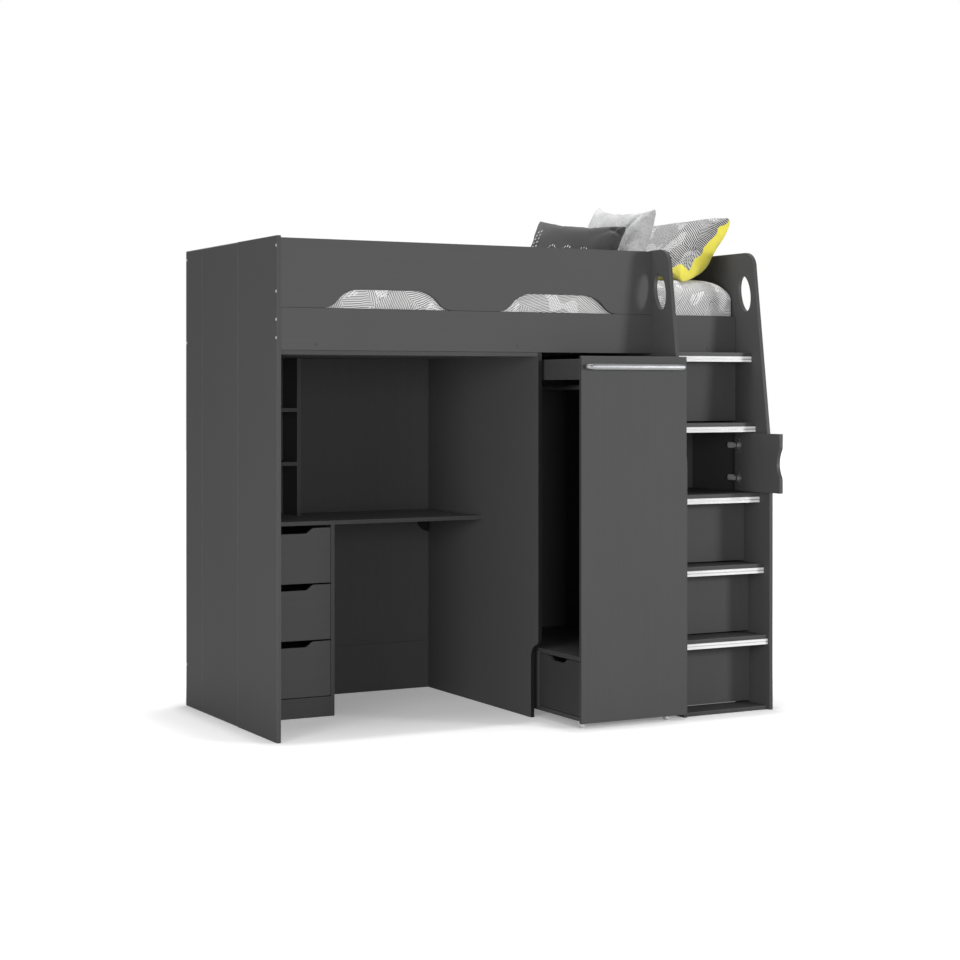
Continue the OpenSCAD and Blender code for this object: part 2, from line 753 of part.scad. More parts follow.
// Turns a drawer drawn to open towards -y, in a bay that starts at x = 0, to open towards -x
module to_left() {
    translate([wr_x + board, divider_y, 0]) rotate([0, 0, -90]) children();
}
base_runner_z = base_front_low + box_rise + runner_h;
module wardrobe_runners() {
    color(steel) to_left() translate([0, 0, base_runner_z])
        runner_pair(0, base_drawer_w) channel(base_box_d);
    color(steel) translate([part_x, wr_back - guide_l, guide_z]) mirror([1, 0, 0])
        slider(guide_l);
}
module base_drawer_box() {
    color("#5a5b5d") to_left() translate([runner_w, 0, base_front_low + box_rise])
        drawer_box(base_drawer_w - 2 * runner_w, base_box_d, base_box_h);
    color(steel) to_left() translate([0, 0, base_runner_z])
        runner_pair(0, base_drawer_w) slider(base_box_d);
}
base_pull_w = 160;
base_pull_flat = 72;
base_pull_h = 17;
base_pull_shift = 10;
module base_drawer_front() {
    y0 = wr_in + front_side_gap;
    y1 = divider_y - front_side_gap;
    color(melamine) end_plate(wr_x) difference() {
        translate([y0, base_front_low]) square([y1 - y0, base_front_top - base_front_low]);
        polygon(cutout((y0 + y1) / 2 + base_pull_shift, base_pull_w, base_pull_flat,
            base_front_top, base_front_top - base_pull_h, -1));
    }
}
module hanging_rail() {
    socket = 8;
    color("#3a3b3d") translate([(wr_x + wr_side_x) / 2, wr_in, hang_z]) rotate([-90, 0, 0]) {
        cylinder(d = hang_dia, h = wr_back - wr_in);
        for (z = [0, wr_back - wr_in - socket]) translate([0, 0, z]) difference() {
            cylinder(d = hang_dia + 12, h = socket);
            translate([0, 0, -1]) cylinder(d = hang_dia, h = socket + 2);
        }
    }
}
module castor_forks() {
    plate = 26;
    plate_t = 2;
    leg_t = 1.5;
    leg_gap = 0.5;
    leg_x = wheel_w / 2 + leg_gap;
    leg_r = 4;
    color("#b9bbbd") for (x = castor_xs, y = castor_ys) translate([x, y, 0]) {
        span([-plate / 2, -plate / 2, base_z - plate_t], [plate / 2, plate / 2, base_z]);
        for (s = [-1, 1]) {
            c = s * (leg_x + leg_t / 2);
            span([c - leg_t / 2, -leg_r, wheel_r], [c + leg_t / 2, leg_r, base_z - plate_t]);
            translate([c - leg_t / 2, 0, wheel_r]) rotate([0, 90, 0]) cylinder(r = leg_r, h = leg_t);
        }
        translate([-leg_x - leg_t, 0, wheel_r]) rotate([0, 90, 0])
            cylinder(d = castor_pin, h = 2 * (leg_x + leg_t));
    }
}
module castor_wheel(x, y) {
    edge = 1.5;
    color("#e6e6e2") translate([x - wheel_w / 2, y, wheel_r]) rotate([0, 90, 0])
        rotate_extrude() polygon([
            [castor_pin / 2 + pin_gap, 0], [wheel_r - edge, 0], [wheel_r, edge],
            [wheel_r, wheel_w - edge], [wheel_r - edge, wheel_w], [castor_pin / 2 + pin_gap, wheel_w]]);
}

// Soft block: a loft of rounded rectangles whose upper edges are round and whose top is crowned
corner_swell = 0.8;
function ring(lx, ly, corner, inset, z, n = 6) =
    let (r = min(corner + corner_swell * inset, ly / 2 - inset - 1)) [
        for (q = [0:3]) for (i = [0:n - 1])
            let (a = 90 * q + 90 * i / (n - 1), sx = q == 0 || q == 3 ? 1 : -1, sy = q < 2 ? 1 : -1)
                [sx * (lx / 2 - inset - r) + r * cos(a), sy * (ly / 2 - inset - r) + r * sin(a), z]];
module loft(rings) {
    m = len(rings[0]);
    n = len(rings);
    pts = [for (r = rings) each r];
    polyhedron(pts, concat(
        [[for (j = [m - 1:-1:0]) j]],
        [for (i = [0:n - 2]) for (j = [0:m - 1]) let (k = (j + 1) % m)
            [i * m + j, i * m + k, (i + 1) * m + k, (i + 1) * m + j]],
        [[for (j = [0:m - 1]) (n - 1) * m + j]]), convexity = 4);
}
module soft_block(lx, ly, h, corner, edge, crown) {
    steps = 8;
    low_edge = min(edge, 12);
    loft(concat(
        [for (i = [0:3]) let (a = 30 * i) ring(lx, ly, corner, low_edge * (1 - sin(a)),
            low_edge * (1 - cos(a)))],
        [for (i = [0:steps]) let (a = 90 * i / steps) ring(lx, ly, corner, edge * (1 - cos(a)),
            h - crown - edge * (1 - sin(a)))],
        [for (i = [1:4]) ring(lx, ly, corner, edge + (ly / 2 - edge - 20) * i / 4,
            h - crown * (1 - sin(22.5 * i)))]));
}
module mattress() {
    lx = head_x - desk_x - 2 * mattress_end_gap;
    ly = back_y - board - 2 * mattress_side_gap;
    color("#e9e9e6") translate([(desk_x + head_x) / 2, bed_depth / 2, mattress_z])
        soft_block(lx, ly, mattress_t, mattress_corner, mattress_edge, 2);
}
module quilt() {
    room_x = head_x - desk_x - 2 * soft_gap;
    room_y = back_y - board - 2 * soft_gap;
    low = mattress_z + mattress_t - quilt_drop;
    color("#b9babb") difference() {
        translate([(desk_x + head_x) / 2, bed_depth / 2, low])
            soft_block(room_x, room_y, quilt_top - low, quilt_corner, quilt_r, quilt_crown);
        span([desk_x + mattress_end_gap - soft_gap, board + mattress_side_gap - soft_gap, low - 1],
            [head_x - mattress_end_gap + soft_gap, back_y - mattress_side_gap + soft_gap,
             mattress_z + mattress_t + soft_gap]);
    }
}

// Cushion with drawn-in sides and a crown, standing in the x-z plane, its seam at y = 0
function cushion_edge(w, h, draw, n = 9) = [for (q = [0:3]) for (i = [0:n - 1])
    let (t = 2 * i / n - 1, d = draw * (1 - t * t), ends = [[w, h], [h, w], [w, h], [h, w]][q],
        p = [ends[0] / 2 * t, -ends[1] / 2 + d], a = 90 * q)
        [p[0] * cos(a) - p[1] * sin(a), p[0] * sin(a) + p[1] * cos(a)]];
module cushion(w, h, t, draw) {
    edge = cushion_edge(w, h, draw);
    seam = 3;
    steps = 8;
    function puff(s) = seam + (t / 2 - seam) * pow(1 - s * s * s, 0.75);
    side = [for (i = [0:steps]) let (s = 1 - 0.85 * i / steps)
        [for (p = edge) [p[0] * s, p[1] * s, puff(s)]]];
    rings = concat([for (i = [steps:-1:0]) [for (p = side[i]) [p[0], p[1], -p[2]]]], side);
    m = len(edge);
    n = len(rings);
    mid = m * n;
    polyhedron(concat([for (r = rings) each r], [[0, 0, -puff(0)], [0, 0, puff(0)]]), concat(
        [for (j = [0:m - 1]) [mid, (j + 1) % m, j]],
        [for (i = [0:n - 2]) for (j = [0:m - 1]) let (k = (j + 1) % m)
            [i * m + j, i * m + k, (i + 1) * m + k, (i + 1) * m + j]],
        [for (j = [0:m - 1]) [mid + 1, (n - 1) * m + j, (n - 1) * m + (j + 1) % m]]),
        convexity = 4);
}
// Stands a cushion of width w and height h on the quilt with its middle over x, y.
// Its lowest corner settles over the quilt's rounded edge.
module propped(x, y, w, h, heading, lean, roll = 0, settle = 0) {
    up = (h / 2 * cos(roll) + w / 2 * abs(sin(roll))) * cos(lean) - settle;
    translate([x, y, quilt_top + soft_gap + up]) rotate([0, 0, heading])
        rotate([90 - lean, 0, 0]) rotate([0, 0, roll]) children();
}
module patterned_pillow() {
    lean = 43;
    from_rail = 25;
    color("#a5a6a8")
        propped(head_x - pillow_h / 2 * sin(lean), board + from_rail + pillow_w / 2,
            pillow_w, pillow_h, -90, lean)
            cushion(pillow_w, pillow_h, pillow_t, 16);
}
module grey_cushion() {
    color("#c4c5c6") propped(head_x - grey_from_head, board + grey_from_rail + grey_w / 2,
        grey_w, grey_h, -90, 18, -6, grey_settle)
        cushion(grey_w, grey_h, grey_t, 20);
}
module dark_cushion() {
    seam = 6;
    color("#46474a") propped(head_x - dark_from_head, board + dark_from_rail + dark_w / 2,
        dark_w, dark_h, -70, 22, -6.5, dark_settle)
        hull() {
            cube([dark_w, dark_h, seam], center = true);
            cube([dark_w - 2 * dark_rim, dark_h - 2 * dark_rim, dark_t], center = true);
        }
}

in_frame() left_end_front_board();
in_frame() left_end_middle_board();
in_frame() left_end_back_board();
in_frame() right_end_front_board();
in_frame() right_end_middle_board();
in_frame() right_end_back_board();
in_frame() front_side_rail();
in_frame() back_side_rail();
in_frame() front_guard();
in_frame() back_guard();
in_frame() deck_cleats();
in_frame() bed_slats();
in_frame() under_bed_board();
in_frame() wardrobe_side_panel();
in_frame() stair_partition();
in_frame() left_stair_panel();
in_frame() back_wall_lower();
in_frame() back_wall_upper();
in_frame() desktop();
in_frame() desk_bracket();
in_frame() bookshelf_upright();
in_frame() bookshelf_shelves();
in_frame() drawer_unit_side();
in_frame() drawer_unit_base();
in_frame() fixed_channels();
in_frame() desk_drawer_front(1);  // desk_drawer_1_front
in_frame() desk_drawer_box(1);  // desk_drawer_1_box
in_frame() desk_drawer_front(2);  // desk_drawer_2_front
in_frame() desk_drawer_box(2);  // desk_drawer_2_box
in_frame() desk_drawer_front(3);  // desk_drawer_3_front
in_frame() desk_drawer_box(3);  // desk_drawer_3_box
in_frame() stair_treads();
in_frame() tread_nosings();
in_frame() stair_risers();
in_frame() cupboard_panels();
in_frame() cupboard_door();
in_frame() hinge_cups();
in_frame() hinge_arms();
in_frame() cover_caps();
in_frame() wardrobe_front();
in_frame() wardrobe_handle();
in_frame() wardrobe_top();
in_frame() wardrobe_right_side();
in_frame() wardrobe_back();
in_frame() wardrobe_shelf();
in_frame() base_cabinet();
in_frame() wardrobe_runners();
in_frame() base_drawer_front();
in_frame() base_drawer_box();
in_frame() hanging_rail();
in_frame() castor_forks();
in_frame() castor_wheel(castor_xs[0], castor_ys[0]);  // castor_wheel_front_left
in_frame() castor_wheel(castor_xs[1], castor_ys[0]);  // castor_wheel_front_right
in_frame() castor_wheel(castor_xs[0], castor_ys[1]);  // castor_wheel_rear_left
in_frame() castor_wheel(castor_xs[1], castor_ys[1]);  // castor_wheel_rear_right
in_frame() mattress();
in_frame() quilt();
in_frame() patterned_pillow();
in_frame() grey_cushion();
in_frame() dark_cushion();
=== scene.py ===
from math import atan2, copysign, cos, exp, hypot, pi, radians, sin

import bpy
import numpy as np
from mathutils import Matrix, Vector, noise
from mathutils.bvhtree import BVHTree


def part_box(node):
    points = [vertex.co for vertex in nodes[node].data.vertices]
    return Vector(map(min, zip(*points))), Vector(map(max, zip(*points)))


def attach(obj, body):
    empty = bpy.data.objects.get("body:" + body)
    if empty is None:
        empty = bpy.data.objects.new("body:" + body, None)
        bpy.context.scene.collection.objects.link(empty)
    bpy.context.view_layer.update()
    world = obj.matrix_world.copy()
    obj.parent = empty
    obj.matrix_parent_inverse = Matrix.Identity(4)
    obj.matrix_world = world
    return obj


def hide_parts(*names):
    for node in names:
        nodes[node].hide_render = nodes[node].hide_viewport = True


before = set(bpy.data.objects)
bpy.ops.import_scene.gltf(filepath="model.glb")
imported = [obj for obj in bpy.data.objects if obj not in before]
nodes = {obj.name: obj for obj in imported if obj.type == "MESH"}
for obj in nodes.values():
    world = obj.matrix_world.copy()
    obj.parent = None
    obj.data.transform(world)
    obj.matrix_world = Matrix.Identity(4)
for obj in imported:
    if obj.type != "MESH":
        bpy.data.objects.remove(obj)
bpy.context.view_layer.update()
scene = bpy.context.scene
print("frame loaded:", len(nodes), "nodes")

# millimetres; the scene's origin lies on the floor at middleX, middleY
bed = dict(middleX=980, middleY=309.5, board=15, headInside=1945)


def bedPoint(x, y, z):
    # bed millimetres: x from the foot end, y from the front rail, z from the floor
    return Vector(((x - bed["middleX"]) / 1000, (y - bed["middleY"]) / 1000, z / 1000))


def addObject(name, data):
    obj = bpy.data.objects.new(name, data)
    scene.collection.objects.link(obj)
    return obj


def addMesh(name, verts, faces, mats, faceMats=None):
    mesh = bpy.data.meshes.new(name)
    mesh.from_pydata([tuple(v) for v in verts], [], faces)
    for mat in mats:
        mesh.materials.append(mat)
    if faceMats is not None:
        mesh.polygons.foreach_set("material_index", faceMats)
    mesh.polygons.foreach_set("use_smooth", [True] * len(mesh.polygons))
    mesh.update()
    return addObject(name, mesh)


def addFlatPlaces(obj, places):
    # each vertex gets its place on the flat cloth, in metres
    obj.data.uv_layers.new(name="cloth").data.foreach_set(
        "uv", [c for loop in obj.data.loops for c in places[loop.vertex_index]])


def vertexPlaces(mesh):
    co = np.empty(len(mesh.vertices) * 3)
    mesh.vertices.foreach_get("co", co)
    return co.reshape(-1, 3)


def ringFaces(rings, count, capped=True):
    # quads between rings of points that lie one after the other, and a face over each closed end
    faces = []
    for i in range(rings - 1):
        for j in range(count):
            k = (j + 1) % count
            faces.append((i * count + j, i * count + k, (i + 1) * count + k, (i + 1) * count + j))
    if capped:
        faces.append(tuple(range(count - 1, -1, -1)))
    return faces + [tuple(range((rings - 1) * count, rings * count))]


def bakeModifiers(obj):
    # keeps the evaluated mesh and drops the modifiers
    graph = bpy.context.evaluated_depsgraph_get()
    graph.update()
    mesh = bpy.data.meshes.new_from_object(obj.evaluated_get(graph), depsgraph=graph)
    obj.modifiers.clear()
    old = obj.data
    obj.data = mesh
    bpy.data.meshes.remove(old)


def startMaterial(name):
    mat = bpy.data.materials.new(name)
    mat.use_nodes = True
    return mat, mat.node_tree, mat.node_tree.nodes["Principled BSDF"]


def feed(tree, node, inputs):
    # each named socket takes a link or a plain value
    for name, given in inputs.items():
        if isinstance(given, bpy.types.NodeSocket):
            tree.links.new(given, node.inputs[name])
        elif given is not None:
            node.inputs[name].default_value = given


def addNode(tree, kind, inputs, **settings):
    node = tree.nodes.new(kind)
    for key, value in settings.items():
        setattr(node, key, value)
    feed(tree, node, inputs)
    return node


def calc(tree, operation, a, b=0.0, c=None, clamp=False):
    node = addNode(tree, "ShaderNodeMath", {0: a, 1: b, 2: c}, operation=operation, use_clamp=clamp)
    return node.outputs[0]


def weighted(tree, a, shareA, b, shareB):
    return calc(tree, "ADD", calc(tree, "MULTIPLY", a, shareA), calc(tree, "MULTIPLY", b, shareB))


def varied(tree, fac, middle, spread):
    # fac runs from 0 to 1, so the result strays half the spread to each side
    return calc(tree, "MULTIPLY_ADD", fac, spread, middle - spread / 2)


def vectorCalc(tree, operation, a, b=None, scale=None):
    node = addNode(tree, "ShaderNodeVectorMath", {0: a, 1: b, "Scale": scale}, operation=operation)
    return node.outputs["Value" if operation in ("DOT_PRODUCT", "DISTANCE") else "Vector"]


def objectPlace(tree, scale=(1, 1, 1)):
    coord = addNode(tree, "ShaderNodeTexCoord", {})
    return addNode(tree, "ShaderNodeMapping", {"Vector": coord.outputs["Object"], "Scale": scale}).outputs[0]


def clothPlace(tree):
    return addNode(tree, "ShaderNodeUVMap", {}, uv_map="cloth").outputs[0]


def noiseAt(tree, place, scale, detail=3.0, rough=0.5, output="Fac"):
    return addNode(tree, "ShaderNodeTexNoise", {
        "Vector": place, "Scale": scale, "Detail": detail, "Roughness": rough}).outputs[output]


def ramp(tree, fac, stops):
    node = addNode(tree, "ShaderNodeValToRGB", {"Fac": fac})
    while len(node.color_ramp.elements) < len(stops):
        node.color_ramp.elements.new(0.5)
    for element, (at, colour) in zip(node.color_ramp.elements, stops):
        element.position = at
        element.color = (*colour, 1)
    return node.outputs["Color"]


def toned(tree, fac, colour, ends, shades):
    # the colour times the first shade where fac is low, times the second where it is high
    return ramp(tree, fac, [(at, tuple(min(1.0, c * k) for c in colour)) for at, k in zip(ends, shades)])


def mixColour(tree, fac, a, b):
    # 6 and 7 are the colour sockets of a Mix node
    a, b = [(*given, 1) if isinstance(given, tuple) else given for given in (a, b)]
    return addNode(tree, "ShaderNodeMix", {0: fac, 6: a, 7: b}, data_type="RGBA").outputs[2]


def bumpFrom(tree, bsdf, height, distance):
    bump = addNode(tree, "ShaderNodeBump", {"Height": height, "Distance": distance})
    tree.links.new(bump.outputs[0], bsdf.inputs["Normal"])


# noises are scale, detail and roughness
boardLook = dict(
    streakNoise=(1.0, 4.0, 0.6), blotchNoise=(3.2, 3.0, 0.55), poreNoise=(1500.0, 2.0, 0.6),
    shades=(0.973, 1.027), grain=0.00005, rough=0.52, roughSpread=0.12, specular=0.10,
)


def boardMaterial(name, colour, along, **changes):
    # melamine-faced board: a fine pressed grain, faint streaks along the board, a soft sheen
    look = dict(boardLook, **changes)
    mat, tree, bsdf = startMaterial(name)
    place = objectPlace(tree)
    streak = noiseAt(tree, objectPlace(tree, along), *look["streakNoise"])
    blotch = noiseAt(tree, place, *look["blotchNoise"])
    pores = noiseAt(tree, place, *look["poreNoise"])
    feed(tree, bsdf, {
        "Base Color": toned(tree, weighted(tree, streak, 0.6, blotch, 0.4), colour, (0.36, 0.64), look["shades"]),
        "Roughness": varied(tree, streak, look["rough"], look["roughSpread"]),
        "Specular IOR Level": look["specular"]})
    bumpFrom(tree, bsdf, weighted(tree, pores, 0.7, streak, 0.3), look["grain"])
    return mat


boardGrey = (0.070, 0.070, 0.0705)
grainUp, grainLong, grainDeep = (90, 90, 2.2), (2.2, 90, 90), (90, 2.2, 90)
grainBox, plainGrain = (3, 60, 60), (30, 30, 30)
boardUpright = boardMaterial("melamine upright", (0.077, 0.077, 0.0775), grainUp, specular=0.03)
boardLong = boardMaterial("melamine long", boardGrey, grainLong)
boardDeep = boardMaterial("melamine deep", boardGrey, grainDeep)
# the back walls take a darker copy of the melamine: painted shade
backPanelShade = boardMaterial("back panel", (0.066, 0.066, 0.0665), grainUp, specular=0.03)
# the desktop takes a lighter copy of the melamine: painted light
deskBoardLit = boardMaterial("desktop board", (0.108, 0.108, 0.1085), grainLong, specular=0.35)
# the wardrobe side panel's faces take a lighter copy of the melamine: painted light
sideBoardLit = boardMaterial("wardrobe side board", (0.084, 0.084, 0.0845), grainUp, specular=0.03)
# the base drawer front takes a darker copy of the melamine: painted shade
lowFrontShade = boardMaterial("base drawer board", (0.042, 0.042, 0.0425), grainDeep)
boxBoard = boardMaterial("drawer box board", (0.085, 0.085, 0.087), grainBox, rough=0.6)
# near black on the wardrobe side panel's edges: painted shade, as they sit in the shade of the wardrobe front
sideEdgeShade = boardMaterial("wardrobe side edge painted shade", (0.013, 0.013, 0.0132), plainGrain, rough=0.4)
edgeBand = boardMaterial("edge banding", (0.057, 0.057, 0.0575), plainGrain, rough=0.4)
jointShade = boardMaterial("dark joint", (0.030, 0.030, 0.0305), plainGrain, rough=0.4)
endBand = boardMaterial("left end banding", (0.060, 0.060, 0.0605), plainGrain, rough=0.4)
# paler than the boards, for the rounded arrises: a painted highlight
arrisHighlight = boardMaterial("arris painted highlight", (0.085, 0.085, 0.086), plainGrain, rough=0.4)
# paler still, for the left end's seams: a painted highlight
seamHighlight = boardMaterial("seam painted highlight", (0.20, 0.20, 0.202), plainGrain, rough=0.4)

timberLook = dict(
    stretch=(6, 1.4, 14), warp=(0.9, 0.9, 0.9), warpNoise=2.0, rings=2.6, fibre=(260, 8, 260), rough=0.6, bump=0.0003)


def timberMaterial(name, pale, dark):
    # planed softwood: growth rings stretched along the slat
    look = timberLook
    mat, tree, bsdf = startMaterial(name)
    place = objectPlace(tree, look["stretch"])
    warp = vectorCalc(tree, "MULTIPLY", noiseAt(tree, place, look["warpNoise"], output="Color"), look["warp"])
    rings = addNode(tree, "ShaderNodeTexWave", {
        "Vector": vectorCalc(tree, "ADD", place, warp), "Scale": look["rings"], "Distortion": 3.0,
        "Detail Scale": 1.4}).outputs["Fac"]
    fibre = noiseAt(tree, objectPlace(tree, look["fibre"]), 1.0, 3.0, 0.6)
    mixed = weighted(tree, rings, 0.65, fibre, 0.35)
    feed(tree, bsdf, {
        "Base Color": ramp(tree, mixed, [(0.25, pale), (0.8, dark)]),
        "Roughness": varied(tree, fibre, look["rough"], 0.2)})
    bumpFrom(tree, bsdf, mixed, look["bump"])
    return mat


slatTimber = timberMaterial("slat timber", (0.62, 0.44, 0.25), (0.42, 0.26, 0.12))
cleatTimber = timberMaterial("grey cleat timber", (0.17, 0.17, 0.175), (0.12, 0.12, 0.125))


def metalMaterial(name, colour, rough, brush, stretch, dent=0.00003, metal=1.0):
    # metal with brushing along one direction and small tone changes
    mat, tree, bsdf = startMaterial(name)
    lines = noiseAt(tree, objectPlace(tree, stretch), 1.0, 3.0, 0.65)
    cloud = noiseAt(tree, objectPlace(tree), 30.0, 3.0, 0.55)
    feed(tree, bsdf, {
        "Base Color": toned(tree, weighted(tree, lines, 0.5, cloud, 0.5), colour, (0.35, 0.65), (0.9, 1.06)),
        "Roughness": varied(tree, lines, rough, brush),
        "Metallic": metal})
    bumpFrom(tree, bsdf, lines, dent)
    return mat


barBrush, slimBrush, evenBrush = (6, 700, 700), (4, 900, 900), (200, 200, 200)
zincSteel = metalMaterial("zinc steel", (0.66, 0.67, 0.68), 0.36, 0.16, (60, 400, 400))
nosingMetal = metalMaterial("nosing aluminium", (0.32, 0.32, 0.324), 0.46, 0.14, slimBrush, metal=0.70)
# a darker copy of the nosing aluminium for its groove: painted shade
grooveShade = metalMaterial("nosing groove", (0.11, 0.11, 0.112), 0.6, 0.1, slimBrush, metal=0.3)
handleMetal = metalMaterial("handle satin metal", (0.175, 0.177, 0.18), 0.38, 0.12, barBrush, metal=0.85)
# one nickel in two copies: the arms pale and mostly diffuse, painted light; the cups darker, painted shade
hingeArmLit = metalMaterial("hinge arm nickel painted light", (0.86, 0.86, 0.86), 0.32, 0.1, evenBrush, metal=0.35)
hingeCupShade = metalMaterial("hinge cup nickel painted shade", (0.30, 0.30, 0.305), 0.42, 0.1, evenBrush, metal=0.8)
# the hanging rail: dark grey, not metallic
darkTube = metalMaterial("dark painted tube", (0.11, 0.111, 0.113), 0.38, 0.1, (400, 6, 400), 0.00002, 0.0)


def plasticMaterial(name, colour, rough, bump=0.00004, clear=None, specular=0.5):
    mat, tree, bsdf = startMaterial(name)
    fine = noiseAt(tree, objectPlace(tree), 1400.0, 2.0)
    cloud = noiseAt(tree, objectPlace(tree), 60.0, 3.0)
    feed(tree, bsdf, {
        "Base Color": toned(tree, cloud, colour, (0.3, 0.7), (0.93, 1.05)),
        "Roughness": varied(tree, fine, rough, 0.12),
        "Specular IOR Level": specular})
    if clear:
        feed(tree, bsdf, {"Transmission Weight": clear, "IOR": 1.45})
    bumpFrom(tree, bsdf, fine, bump)
    return mat


bracketPlastic = plasticMaterial("bracket plastic", (0.009, 0.009, 0.0095), 0.55, specular=0.1)
capPlastic = plasticMaterial("cap plastic", (0.060, 0.060, 0.061), 0.5, specular=0.1)
paleCap = plasticMaterial("pale cap plastic", (0.42, 0.42, 0.42), 0.35)
wheelPlastic = plasticMaterial("clear wheel plastic", (0.80, 0.81, 0.80), 0.22, 0.00002, 0.35)

clothLook = dict(rough=0.88, roughSpread=0.1, sheenRough=0.5, specular=0.2, fuzz=0.8)


def clothFinish(tree, bsdf, place, weave, threads, sheen=0.25):
    # a plain weave from two crossed waves, threads per metre, and fuzz over it
    axes = addNode(tree, "ShaderNodeSeparateXYZ", {"Vector": place}).outputs
    crossed = [calc(tree, "SINE", calc(tree, "MULTIPLY", axes[i], threads * pi)) for i in (0, 1)]
    yarns = calc(tree, "ABSOLUTE", calc(tree, "MULTIPLY", *crossed))
    fuzz = noiseAt(tree, place, threads * 1.7, 3.0, 0.7)
    bumpFrom(tree, bsdf, calc(tree, "ADD", yarns, calc(tree, "MULTIPLY", fuzz, clothLook["fuzz"])), weave)
    feed(tree, bsdf, {
        "Roughness": varied(tree, fuzz, clothLook["rough"], clothLook["roughSpread"]),
        "Sheen Weight": sheen, "Sheen Roughness": clothLook["sheenRough"],
        "Specular IOR Level": clothLook["specular"]})
    return fuzz


# patches, lines and noises per metre; arcs is the share drawn as arcs; finer holds the second layer's shares
hatching = dict(
    patch=8.5, farCentre=1.2, linesRange=(0.35, 0.9), wobbleNoise=(26.0, 2.0), wobble=1.1, weightNoise=0.9,
    weight=1.5, breakNoise=(85.0, 3.0, 0.65), breaking=(2.2, -0.8), patchTint=0.08, finer=(0.61, 0.72, 0.2),
)
quiltHatching = dict(
    hatching, lines=148.0, arcs=0.3, ink=(0.075, 0.075, 0.075), middle=(0.47, 0.47, 0.47), pale=(0.86, 0.86, 0.86))
pillowHatching = dict(
    hatching, lines=146.0, arcs=0.2, ink=(0.010, 0.010, 0.011), middle=(0.10, 0.10, 0.102), pale=(0.58, 0.58, 0.58))


def hatchLayer(tree, place, look, shift):
    # patches of parallel pen lines, each at its own angle and pitch; some are arcs about a far centre
    moved = vectorCalc(tree, "ADD", place, shift)
    cells = addNode(tree, "ShaderNodeTexVoronoi", {"Vector": moved, "Scale": look["patch"], "Randomness": 0.9}).outputs
    pick = addNode(tree, "ShaderNodeSeparateColor", {"Color": cells["Color"]}).outputs
    angle = calc(tree, "MULTIPLY", pick[0], 2 * pi)
    aim = addNode(tree, "ShaderNodeCombineXYZ", {
        "X": calc(tree, "COSINE", angle), "Y": calc(tree, "SINE", angle)}).outputs[0]
    straight = vectorCalc(tree, "DOT_PRODUCT", moved, aim)
    centre = vectorCalc(tree, "ADD", cells["Position"], vectorCalc(
        tree, "SCALE", aim, scale=look["farCentre"] / look["patch"]))
    isArc = calc(tree, "GREATER_THAN", pick[1], 1.0 - look["arcs"])
    run = weighted(
        tree, straight, calc(tree, "SUBTRACT", 1.0, isArc), vectorCalc(tree, "DISTANCE", moved, centre), isArc)
    pitch = calc(tree, "MULTIPLY_ADD", pick[2], *[look["lines"] * k for k in look["linesRange"]])
    wobble = varied(tree, noiseAt(tree, moved, *look["wobbleNoise"]), 0.0, look["wobble"])
    turns = calc(tree, "ADD", calc(tree, "MULTIPLY", run, pitch), wobble)
    weight = addNode(tree, "ShaderNodeTexNoise", {
        "W": calc(tree, "MULTIPLY", turns, look["weightNoise"]), "Scale": 1.0, "Detail": 1.0},
        noise_dimensions="1D").outputs["Fac"]
    broken = noiseAt(tree, moved, *look["breakNoise"])
    strength = calc(
        tree, "ADD", calc(tree, "MULTIPLY", weight, look["weight"]),
        calc(tree, "MULTIPLY_ADD", broken, *look["breaking"]))
    wave = calc(tree, "COSINE", calc(tree, "MULTIPLY", turns, 2 * pi))
    return calc(tree, "MULTIPLY", wave, strength), pick[1]


def hatchedMaterial(name, look):
    # loose pen hatching on cotton, with a finer second layer over some of it
    mat, tree, bsdf = startMaterial(name)
    place = clothPlace(tree)
    patch, lines, arcs = look["finer"]
    finer = dict(look, patch=look["patch"] * patch, lines=look["lines"] * lines, arcs=arcs)
    first, tint = hatchLayer(tree, place, look, (3.62, 4.23, 0.0))
    second, _ = hatchLayer(tree, place, finer, (8.3, 1.7, 0.0))
    over = calc(tree, "GREATER_THAN", noiseAt(tree, place, look["patch"] * 1.1, 1.0), 0.56)
    wave = weighted(tree, first, calc(tree, "SUBTRACT", 1.0, over), calc(tree, "MAXIMUM", first, second), over)
    stroke = calc(tree, "MULTIPLY_ADD", wave, 0.5, 0.5, clamp=True)
    level = calc(tree, "ADD", stroke, varied(tree, tint, 0.0, look["patchTint"]))
    colour = ramp(tree, level, [
        (0.05, look["ink"]), (0.42, look["middle"]), (0.58, look["middle"]), (0.82, look["pale"])])
    fuzz = clothFinish(tree, bsdf, place, 0.00022, 900)
    soiled = mixColour(tree, calc(tree, "MULTIPLY", fuzz, 0.12), colour, look["ink"])
    tree.links.new(soiled, bsdf.inputs["Base Color"])
    return mat


def plainClothMaterial(name, colour, threads, weave, tone=0.08, sheen=0.25):
    mat, tree, bsdf = startMaterial(name)
    place = clothPlace(tree)
    fuzz = clothFinish(tree, bsdf, place, weave, threads, sheen)
    cloud = noiseAt(tree, place, 14.0, 3.0, 0.6)
    fleck = noiseAt(tree, place, threads * 0.5, 2.0, 0.7)
    mixed = weighted(tree, calc(tree, "ADD", fuzz, fleck), 0.3, cloud, 0.4)
    feed(tree, bsdf, {"Base Color": toned(tree, mixed, colour, (0.3, 0.7), (1 - tone * 2, 1 + tone))})
    return mat


